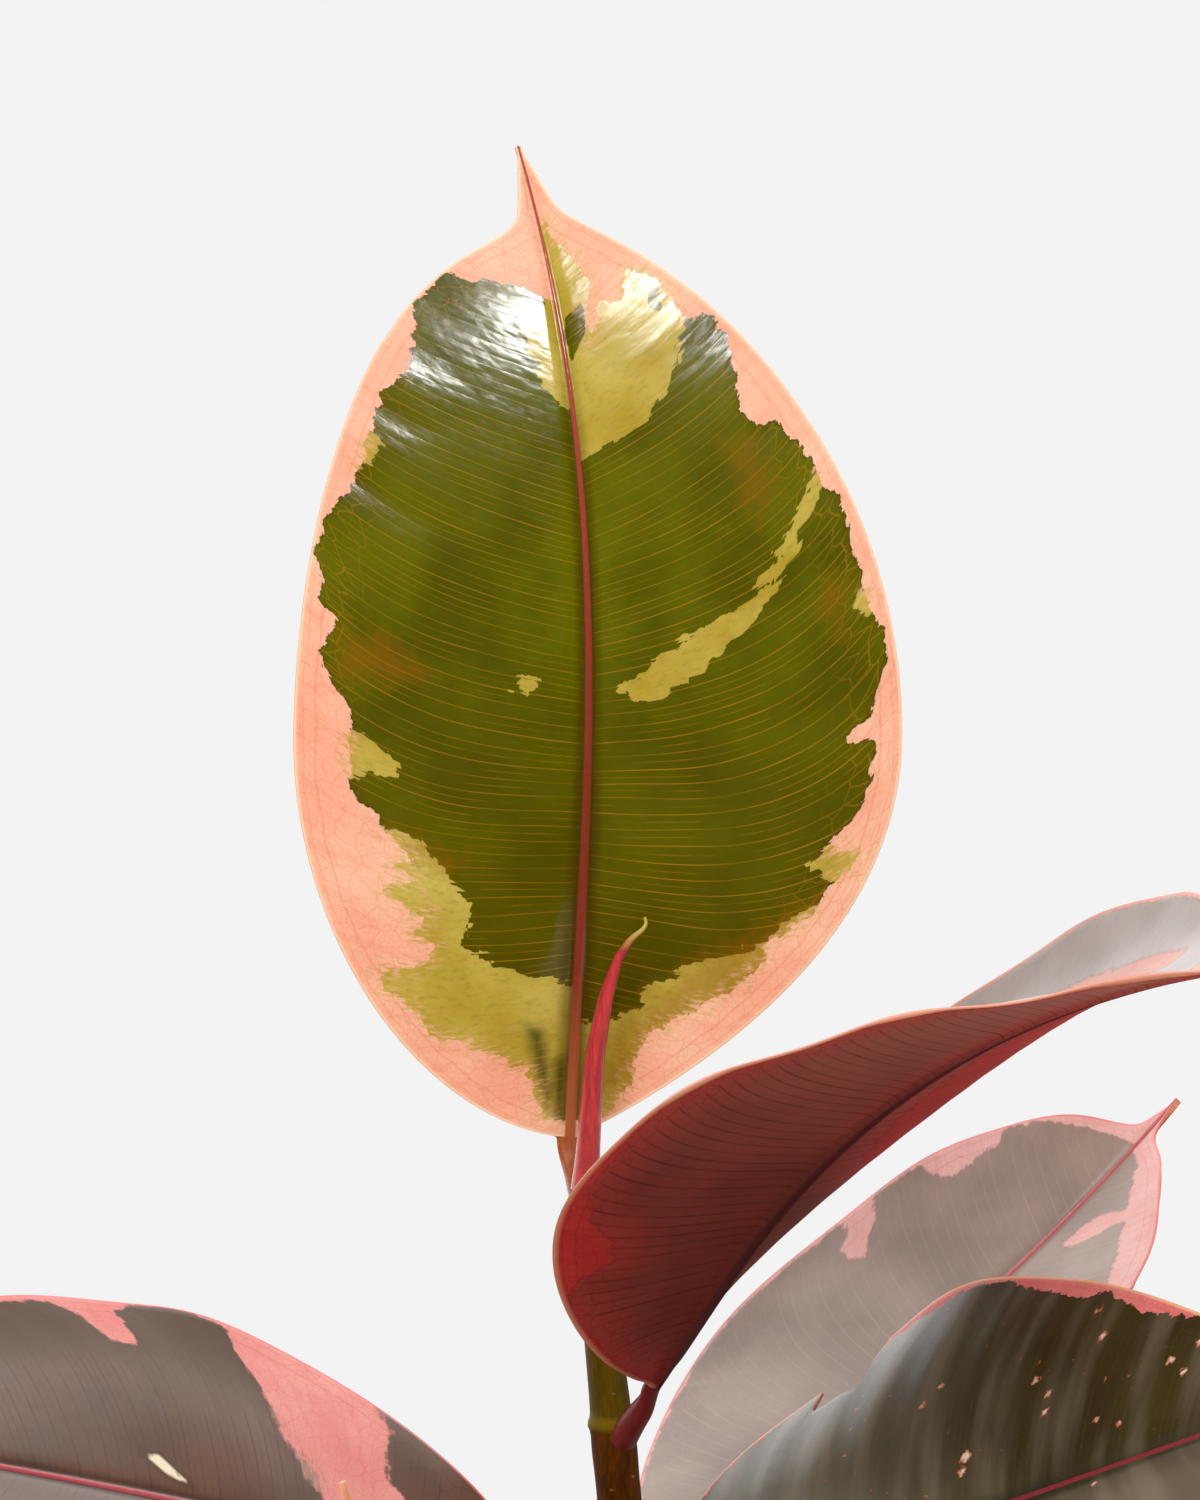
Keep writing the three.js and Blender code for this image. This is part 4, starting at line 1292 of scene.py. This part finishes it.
leafColours = {
    "young": {
        "green": (104, 106, 2), "greenDeep": (82, 82, 0), "lower": (80, 62, 0), "brown": (150, 92, 8),
        "vein": (176, 124, 20), "pale": (206, 190, 92), "paleDeep": (178, 155, 46),
        "pink": (242, 202, 168), "pinkDeep": (238, 176, 140), "net": (224, 128, 98),
        "edge": (252, 228, 192), "rib": (188, 84, 70), "ribDeep": (142, 56, 36), "ribShade": (68, 43, 3),
        "ribFoot": (186, 108, 58), "through": 0.3, "roughness": 0.09,
    },
    "bronze": {
        "green": (104, 68, 46), "greenDeep": (84, 56, 38), "vein": (74, 36, 34),
        "pale": (170, 128, 112), "paleDeep": (150, 112, 98), "pink": (228, 160, 148),
        "pinkDeep": (218, 132, 122), "net": (206, 88, 88), "edge": (230, 112, 112), "rib": (196, 76, 84),
        "ribDeep": (180, 62, 72), "ribShade": (56, 34, 24), "scar": (240, 222, 190),
        "scarRim": (78, 48, 26), "marginShade": (84, 60, 40),
        "through": 0.2, "roughness": 0.3, "shine": 0.6, "blur": 0.4,
    },
    # painted sheen: these greys stand in for the sheen off the bright back, and the markings are soft and
    # faint
    "sheenHazy": {
        "green": (164, 144, 130), "greenDeep": (142, 124, 112), "brown": (140, 90, 80),
        "vein": (184, 162, 150), "pale": (186, 158, 146), "paleDeep": (168, 142, 130),
        "pink": (230, 192, 184), "pinkDeep": (222, 172, 164), "net": (214, 132, 126),
        "edge": (234, 136, 130), "rib": (198, 92, 96), "ribDeep": (184, 84, 88), "ribShade": (112, 88, 78),
        "through": 0.2, "roughness": 0.35, "shine": 0.6, "blur": 0.5, "between": 0.1, "veinShare": 0.3,
    },
    "grown": {
        "green": (62, 56, 22), "greenDeep": (48, 40, 16), "brown": (90, 52, 26), "vein": (78, 62, 32),
        "pale": (150, 150, 120), "paleDeep": (126, 130, 98), "pink": (226, 142, 132),
        "pinkDeep": (214, 112, 108), "net": (200, 90, 90), "edge": (236, 200, 140), "rib": (160, 56, 62),
        "ribDeep": (132, 44, 50), "ribShade": (34, 34, 20),
        "through": 0.25, "roughness": 0.34, "tipGold": True,
    },
    "under": {
        "green": (152, 62, 48), "greenDeep": (132, 52, 40), "brown": (120, 50, 50), "vein": (50, 14, 12),
        "pale": (176, 76, 66), "paleDeep": (160, 58, 52), "pink": (222, 76, 68), "pinkDeep": (208, 62, 58),
        "net": (160, 40, 48), "edge": (234, 176, 138), "rib": (110, 22, 32), "ribDeep": (92, 18, 26),
        # far is a painted sheen: the underside's green turns this lighter colour towards the tip
        "ribShade": (90, 36, 30), "far": (208, 116, 96), "through": 0.3, "roughness": 0.6, "blur": 1.4,
        "sway": 0.3, "between": 0.1, "veinShare": 0.6, "tipGold": True, "pinkThrough": 0.45, "rim": 0.85,
    },
    "youngUnder": {
        "green": (138, 84, 46), "greenDeep": (120, 68, 38), "brown": (140, 70, 50), "vein": (96, 44, 30),
        "pale": (196, 138, 84), "paleDeep": (184, 118, 74), "pink": (228, 134, 112),
        "pinkDeep": (218, 112, 98), "net": (196, 78, 74), "edge": (244, 196, 156), "rib": (186, 70, 60),
        "ribDeep": (150, 48, 44), "ribShade": (104, 60, 34), "through": 0.3, "roughness": 0.5,
    },
}
# painted sheen: these silvery greys stand in for the sheen on the upper side
leafColours["sheenSilver"] = {
    **leafColours["sheenHazy"],
    "green": (184, 178, 174), "greenDeep": (166, 158, 154), "vein": (190, 178, 170),
    "pink": (224, 184, 172), "pinkDeep": (216, 168, 158), "net": (214, 140, 132), "edge": (234, 160, 140),
    "ribShade": (130, 112, 104),
}

# the old leaf in front: a painted sheen of grey streaks, and its own small dried specks
paintedSheenAndSpecks = {
    # streak is the painted sheen's grey; the specks are the leaf's own
    "streak": (138, 128, 106), "sheenStreakSize": 4.5, "sheenFrom": 66, "sheenTo": 38,
    "speck": (226, 208, 188), "speckRim": (168, 92, 60), "speckSpacing": 3.0, "speckSize": 0.46,
}

stalkColours = {
    "amber": {"upper": (166, 84, 40), "lower": (120, 68, 14)},
    "crimson": {"upper": (112, 22, 24), "lower": (98, 36, 28)},
}


def leafSockets(tree, colours, ragged, veinWidth):
    # what every part of a leaf's finish reads
    place, edgeSet, field = (attribute(tree, label) for label in ("place", "edge", "field"))
    v, d, a = split(tree, place)
    edge, share, brownDepth = split(tree, edgeSet)
    world = objectPlace(tree)
    grain = useGroup(tree, fineGrain, {"Place": world, "Size": 0.35})
    return SimpleNamespace(
        v=v, d=d, a=a, away=sizeOf(tree, d), flat=joined(tree, v, d),
        edge=edge, share=share, brownDepth=brownDepth, deep=split(tree, field)[0],
        veins=useGroup(tree, leafVeins, {
            "Place": place, "Edge": edgeSet, "Width": veinWidth,
            "Sway": colours.get("sway", 1.6), "Between": colours.get("between", 0.45),
        }),
        zones=useGroup(tree, leafZones, {
            "Field": field, "Place": place, "Brown": brownDepth, "Ragged": ragged,
            "Blur": colours.get("blur", 0.06),
        }),
        grain=grain["Value"], speck=ranged(tree, grain["Value"], 0.3, 0.7), cloud=noise(tree, world, 14, 3),
    )


def streaks(tree, at, stretch, size, detail, roughness):
    # noise drawn out along the side veins
    return noise(tree, joined(tree, at.v, times(tree, at.d, stretch)), size, detail, roughness)


def greenTone(tree, at, colours):
    green = mottled(tree, at.cloud, colours["green"], colours["greenDeep"])
    green = mixed(tree, times(tree, at.speck, 0.35), green, colours["greenDeep"])
    if "far" in colours:
        # painted sheen: the underside is painted lighter towards the tip
        green = mixed(tree, ranged(tree, at.share, 0.35, 1.0, 0, 0.75), green, colours["far"])
        flush = ranged(tree, at.deep, 0, 11, 0.5, 0, "SMOOTHSTEP")
        green = mixed(tree, flush, green, colours["pinkDeep"])
    if "lower" in colours:
        green = mixed(tree, ranged(tree, at.a, 75, 25, 0, 0.6), green, colours["lower"])
    veined = times(tree, at.veins["Lateral"], colours.get("veinShare", 0.75))
    green = mixed(tree, veined, green, colours["vein"])
    return mixed(tree, at.zones["Border"], green, colours["ribShade"])


def paleTone(tree, at, colours):
    pale = mottled(tree, at.cloud, colours["pale"], colours["paleDeep"])
    fleck = streaks(tree, at, 0.3, 0.6, 3, 0.7)
    pale = mixed(tree, times(tree, at.speck, 0.4), pale, colours["paleDeep"])
    pale = mixed(tree, ranged(tree, fleck, 0.5, 0.7, 0, 0.3), pale, colours["green"])
    return mixed(tree, times(tree, at.veins["Lateral"], 0.3), pale, colours["net"])


def pinkTone(tree, at, colours):
    pink = mottled(tree, at.cloud, colours["pink"], colours["pinkDeep"], 0.3, 0.7)
    flush = streaks(tree, at, 0.2, 1.5, 3, 0.6)
    for share in (ranged(tree, flush, 0.48, 0.72, 0, 0.3), times(tree, at.veins["Net"], 0.42),
                  times(tree, at.veins["Margin"], 0.35)):
        pink = mixed(tree, share, pink, colours["net"])
    return pink


def addPaintedSheenAndSpecks(tree, at, tone):
    # painted sheen: grey streaks along the side veins, lighter on the right half and towards the base; then
    # small dried specks
    sheenBand = streaks(tree, at, 0.15, paintedSheenAndSpecks["sheenStreakSize"], 2, 0.4)
    paintedSheen = plus(tree, ranged(tree, sheenBand, 0.42, 0.7, 0.02, 0.32, "SMOOTHSTEP"),
                ranged(tree, at.d, -2, 6, 0, 0.5))
    paintedSheen = plus(tree, paintedSheen, ranged(tree, at.a, paintedSheenAndSpecks["sheenFrom"], paintedSheenAndSpecks["sheenTo"], 0, 0.26))
    paintedSheen = times(tree, paintedSheen, at.zones["Inside"])
    tone = mixed(tree, paintedSheen, tone, paintedSheenAndSpecks["streak"])
    place = shaken(tree, at.flat, 1.6, 3.0, 1.7)
    cell = voronoi(tree, place, paintedSheenAndSpecks["speckSpacing"], voronoi_dimensions="2D")
    chance = split(tree, cell["Color"])[0]
    crowd = times(tree, ranged(tree, noise(tree, at.flat, 13, 1), 0.5, 0.64), ranged(tree, at.a, 25, 60))
    size = times(tree, ranged(tree, chance, 0.55, 1.0, 0.0, paintedSheenAndSpecks["speckSize"]), crowd)
    size = times(tree, size, at.zones["Inside"])
    ring = minus(tree, cell["Distance"], size)
    speck = mixed(tree, ranged(tree, ring, -0.14, -0.02), paintedSheenAndSpecks["speck"], paintedSheenAndSpecks["speckRim"])
    return mixed(tree, ranged(tree, ring, 0.0, 0.03, 1, 0), tone, speck)


def addScar(tree, at, colours, tone):
    # a dry, cream-coloured scar with a brown rim
    rim = ranged(tree, at.brownDepth, -1.4, -0.4, 0, 0.8, "SMOOTHSTEP")
    tone = mixed(tree, rim, tone, colours["scarRim"])
    return mixed(tree, ranged(tree, at.brownDepth, -0.25, 0.15), tone, colours["scar"])


def addMidrib(tree, at, colours, rib, tone):
    # the midrib and the shade beside it
    half = timesPlus(tree, at.share, rib[1] - rib[0], rib[0])
    reach = timesPlus(tree, at.share, -2.2, 3.4)
    shade = times(tree, ranged(tree, at.away, times(tree, half, 0.9), reach, 0.85, 0),
                  times(tree, at.zones["Inside"], ranged(tree, at.share, 0.85, 0.55)))
    tone = mixed(tree, shade, tone, colours["ribShade"])
    ribTone = mixed(tree, ranged(tree, at.share, 0.9, 0.35), colours["rib"], colours["ribDeep"])
    ribTone = mixed(tree, times(tree, at.speck, 0.3), ribTone, colours["ribShade"])
    foot = ranged(tree, at.share, 0.16, 0.0, 0, 0.8)
    ribTone = mixed(tree, foot, ribTone, colours.get("ribFoot", colours["ribDeep"]))
    if "tipGold" in colours:
        ribTone = mixed(tree, ranged(tree, at.share, 0.95, 0.98), ribTone, colours["edge"])
    mask = ranged(tree, at.away, times(tree, half, 0.8), times(tree, half, 1.15), 1, 0)
    return mixed(tree, mask, tone, ribTone)


def leafMaterial(name, palette, ragged=1.0, veinWidth=0.07, rib=(0.85, 0.16), sheenAndSpecks=False):
    material, tree, shader = newMaterial(name)
    colours = leafColours[palette]
    at = leafSockets(tree, colours, ragged, veinWidth)
    green, pale, pink = (makeTone(tree, at, colours) for makeTone in (greenTone, paleTone, pinkTone))
    middle = mixed(tree, at.zones["Pale"], green, pale)
    if "scar" not in colours:
        middle = mixed(tree, times(tree, at.zones["Brown"], 0.45), middle, colours["brown"])
    tone = mixed(tree, at.zones["Inside"], pink, middle)
    halfway = mixed(tree, at.zones["Inside"], pale, pink)
    tone = mixed(tree, at.zones["Mist"], tone, halfway)
    shine = colours.get("shine", 0.5)
    if "marginShade" in colours:
        # the far edge of the blade bends away from the light
        lit = larger(tree, ranged(tree, at.edge, 5, 22, kind="SMOOTHSTEP"), ranged(tree, at.a, 40, 24))
        lit = larger(tree, lit, minus(tree, 1.0, at.zones["Inside"]))
        tone = mixed(tree, lit, colours["marginShade"], tone)
        shine = ranged(tree, lit, 0, 1, 0.35 * shine, shine)
    rim = ranged(tree, at.edge, 0.12, colours.get("rim", 0.5), 0.85, 0)
    tone = mixed(tree, rim, tone, colours["edge"])
    # painted sheen streaks, and the real dried specks
    if sheenAndSpecks:
        tone = addPaintedSheenAndSpecks(tree, at, tone)
    if "scar" in colours:
        tone = addScar(tree, at, colours, tone)
    tone = addMidrib(tree, at, colours, rib, tone)
    rough = ranged(tree, at.grain, 0.3, 0.7, colours["roughness"], colours["roughness"] + 0.08)
    rough = plus(tree, rough, ranged(tree, at.zones["Inside"], 0, 1, 0.3, 0.0))
    swelling = bump(tree, streaks(tree, at, 0.6, 3.2, 2, 0.5), 0.06)
    dress(tree, shader, Base_Color=tone, Roughness=rough, Specular_IOR_Level=shine,
          Normal=bump(tree, at.veins["Height"], 0.009, swelling))
    glow = put(tree, "ShaderNodeBsdfTranslucent", {"Color": tone})
    pinkThrough = colours.get("pinkThrough", colours["through"])
    through = ranged(tree, at.zones["Inside"], 0, 1, pinkThrough, colours["through"])
    join = put(tree, "ShaderNodeMixShader", {0: through, 1: shader.outputs[0], 2: glow.outputs[0]})
    tree.links.new(join.outputs[0], tree.nodes["Material Output"].inputs["Surface"])
    return material


def stalkMaterial(label):
    upper, lower = stalkColours[label]["upper"], stalkColours[label]["lower"]
    material, tree, shader = newMaterial("stalk_" + label, Roughness=0.4)
    grain = useGroup(tree, fineGrain, {"Place": objectPlace(tree), "Size": 0.45, "Stretch": 4.0})
    v = split(tree, attribute(tree, "place"))[0]
    tone = mixed(tree, ranged(tree, v, -25, 0), lower, upper)
    speck = ranged(tree, grain["Value"], 0.4, 0.6, 0, 0.35)
    tone = mixed(tree, speck, tone, tuple(c * 0.6 for c in lower))
    dress(tree, shader, Base_Color=tone, Normal=bump(tree, grain["Height"], 0.08))
    return material


def makeLeaves():
    soft = {"ragged": 0.8, "veinWidth": 0.12, "rib": (0.9, 0.3)}
    youngUpper = leafMaterial("leaf_upper_young", "young")
    bronzeUpper = leafMaterial("leaf_upper_bronze", "bronze", **soft)
    # painted sheen in its colours
    sheenHazyUpper = leafMaterial("leaf_upper_sheen_hazy", "sheenHazy", **soft)
    # painted sheen in its colours
    sheenSilverUpper = leafMaterial("leaf_upper_sheen_silver", "sheenSilver", **soft)
    oldUpper = leafMaterial("leaf_upper_flecked", "grown", ragged=0.8, rib=(0.6, 0.2), sheenAndSpecks=True)
    grownUpper = leafMaterial("leaf_upper_grown", "grown", ragged=1.2, rib=(0.6, 0.2))
    uppers = {"leaf_01": youngUpper, "leaf_02": sheenSilverUpper, "leaf_03": bronzeUpper, "leaf_04": sheenHazyUpper,
              "leaf_05": oldUpper}
    under = leafMaterial("leaf_underside", "under", ragged=1.2, veinWidth=0.15, rib=(0.9, 0.4))
    youngUnder = leafMaterial("leaf_underside_young", "youngUnder", veinWidth=0.1, rib=(1.3, 0.4))
    amberStalk, redStalk = stalkMaterial("amber"), stalkMaterial("crimson")
    every = {**leaves, **{name: archedLeaf(values) for name, values in archedLeaves.items()}}
    for number, (name, leaf) in enumerate(sorted(every.items())):
        top = name == "leaf_01"
        marks = topMarks if top else lowerMarks.get(name, {})

        def fields(d, edge, v, a, marks=marks, seed=number):
            return markFields(marks, d, edge, a) if marks else marginFields(seed, d, edge, v)

        finishes = [uppers.get(name, grownUpper), youngUnder if top else under,
                    amberStalk if top else redStalk]
        piece = leafPiece(name + "_skin", leaf, finishes, fields, marks.get("glow"))
        handOver(piece, "leaf", name)


makeLeaves()
print("leaves ready")


# Soil

soil = {
    "floor": 8.3, "edge": 117.2, "middle": 118.2, "reach": 62, "lump": 0.9, "crumble": 0.45, "gap": 0.3,
    "holeFloor": 59.7, "holeFoot": 4.95, "holeRadius": 5.55, "rings": 54, "sides": 180,
    "scatterFrom": 7, "scatterTo": 60, "scatterDepth": 7, "seed": 7,
    "dark": (44, 31, 23), "light": (92, 68, 48), "chip": (104, 70, 44), "shade": (26, 18, 14),
    "chipSpacing": 3.2, "gritColour": (214, 208, 196), "gritShade": (176, 166, 150),
}
# loose pieces on top: how many, their radius and how finely each is divided
loose = {
    "soil_crumbs": {"count": 900, "radius": 1.25, "detail": 2},
    "soil_fines": {"count": 1500, "radius": 0.6, "detail": 1},
    "soil_grit": {"count": 70, "radius": 1.3, "detail": 2},
}


def soilMaterial():
    material, tree, shader = newMaterial("potting_mix", Roughness=0.95)
    place = objectPlace(tree)
    grain = useGroup(tree, fineGrain, {"Place": place, "Size": 1.1})
    colour = mottled(tree, grain["Value"], soil["dark"], soil["light"])
    tone = split(tree, voronoi(tree, place, soil["chipSpacing"])["Color"])[0]
    colour = mixed(tree, ranged(tree, tone, 0.7, 1.0, 0, 0.6), colour, soil["chip"])
    colour = mixed(tree, ranged(tree, tone, 0.3, 0.0, 0, 0.6), colour, soil["shade"])
    dress(tree, shader, Base_Color=colour, Normal=bump(tree, grain["Height"], 0.5))
    return material


def gritMaterial():
    material, tree, shader = newMaterial("white_grit", Roughness=0.8)
    grain = useGroup(tree, fineGrain, {"Place": objectPlace(tree), "Size": 0.5})
    dress(tree, shader, Base_Color=mottled(tree, grain["Value"], soil["gritShade"], soil["gritColour"]),
          Normal=bump(tree, grain["Height"], 0.2))
    return material


def soilHeight(x, y):
    far = math.hypot(x, y) / soil["reach"]
    height = soil["edge"] + (soil["middle"] - soil["edge"]) * (1 - far * far)
    for size, rise in ((11, soil["lump"]), (4, soil["crumble"]), (1.7, soil["crumble"] * 0.5)):
        height += rise * lumps.noise(Vector((x / size, y / size, soil["seed"])))
    return height


def makeSoil(material):
    # a filled body round the stem, and its top alone for the crumbs
    rimRadius = innerRadius(soil["edge"]) - soil["gap"]
    topRadii = np.linspace(soil["holeRadius"] + 0.85, rimRadius - 0.5, soil["rings"])
    wallFoot = pot["floor"] + pot["innerFillet"] + 0.5
    corner = innerRadius(pot["floor"]) - pot["innerFillet"] - soil["gap"]
    profile = [(0, soil["holeFloor"]), (soil["holeFoot"], soil["holeFloor"])]
    profile += [(r, None) for r in (soil["holeRadius"], *topRadii, rimRadius)]
    profile += [(innerRadius(wallFoot) - soil["gap"], wallFoot), (corner, soil["floor"]), (0, soil["floor"])]
    points, rings = turnedPoints(profile, soil["sides"], soilHeight)
    faces = ringFaces(rings, turned=True)
    piece = makeMesh("potting_mix_fill", points, faces, [material])
    handOver(piece, "soil", "soil")

    def onTop(i):
        x, y, z = points[i]
        high = z > soil["edge"] - soil["scatterDepth"]
        return high and soil["scatterFrom"] < math.hypot(x, y) < soil["scatterTo"]

    return makeMesh("soil_top", points, [face for face in faces if all(map(onTop, face))], [material])


def buildGrains():
    # lumps scattered over a surface, each turned, stretched and roughened
    tree, given, out = newGroup(
        "scatteredGrains",
        [("Geometry", "Geometry"), ("Density", "Float"), ("Radius", "Float"), ("Detail", "Int"),
         ("Seed", "Int"), ("Finish", "Material")],
        [("Geometry", "Geometry")], "GeometryNodeTree",
    )
    points = put(tree, "GeometryNodeDistributePointsOnFaces",
                 {"Mesh": given["Geometry"], "Density": given["Density"], "Seed": given["Seed"]})
    ball = put(tree, "GeometryNodeMeshIcoSphere",
               {"Radius": given["Radius"], "Subdivisions": given["Detail"]})

    def chance(low, high):
        values = {0: low, 1: high, "Seed": given["Seed"]}
        return put(tree, "FunctionNodeRandomValue", values, data_type="FLOAT_VECTOR").outputs[0]

    turn = chance((0, 0, 0), (6.28, 6.28, 6.28))
    size = chance((0.45, 0.4, 0.3), (1.5, 1.1, 0.9))
    placed = put(tree, "GeometryNodeInstanceOnPoints",
                 {"Points": points.outputs["Points"], "Instance": ball.outputs["Mesh"], "Rotation": turn,
                  "Scale": size})
    real = put(tree, "GeometryNodeRealizeInstances", {"Geometry": placed.outputs[0]})
    rough = put(tree, "ShaderNodeTexNoise", {"Scale": 1 / (1.4 * mm), "Detail": 1.0}).outputs["Color"]
    middled = vectorCalc(tree, "SUBTRACT", {0: rough, 1: (0.5, 0.5, 0.5)})
    shove = vectorCalc(tree, "SCALE", {0: middled, 3: given["Radius"]})
    moved = put(tree, "GeometryNodeSetPosition", {"Geometry": real.outputs[0], "Offset": shove})
    done = put(tree, "GeometryNodeSetMaterial", {"Geometry": moved.outputs[0], "Material": given["Finish"]})
    feed(tree, out["Geometry"], done.outputs[0])
    return tree


def scatterGrains(name, surface, seed, material):
    carrier = addObject(name, surface.data)
    modifier = carrier.modifiers.new("grains", "NODES")
    modifier.node_group = scatteredGrains
    area = math.pi * (soil["scatterTo"] ** 2 - soil["scatterFrom"] ** 2) * mm * mm
    kind = loose[name]
    for label, value in (("Density", kind["count"] / area), ("Radius", kind["radius"] * mm),
                         ("Detail", kind["detail"]), ("Seed", seed), ("Finish", material)):
        setInput(modifier, label, value)
    flatten(carrier)
    handOver(carrier, "soil")


scatteredGrains = buildGrains()
mix = soilMaterial()
soilTop = makeSoil(mix)
scatterGrains("soil_crumbs", soilTop, soil["seed"], mix)
scatterGrains("soil_fines", soilTop, soil["seed"] + 1, mix)
scatterGrains("soil_grit", soilTop, soil["seed"] + 2, gritMaterial())
bpy.data.objects.remove(soilTop)
print("soil ready")
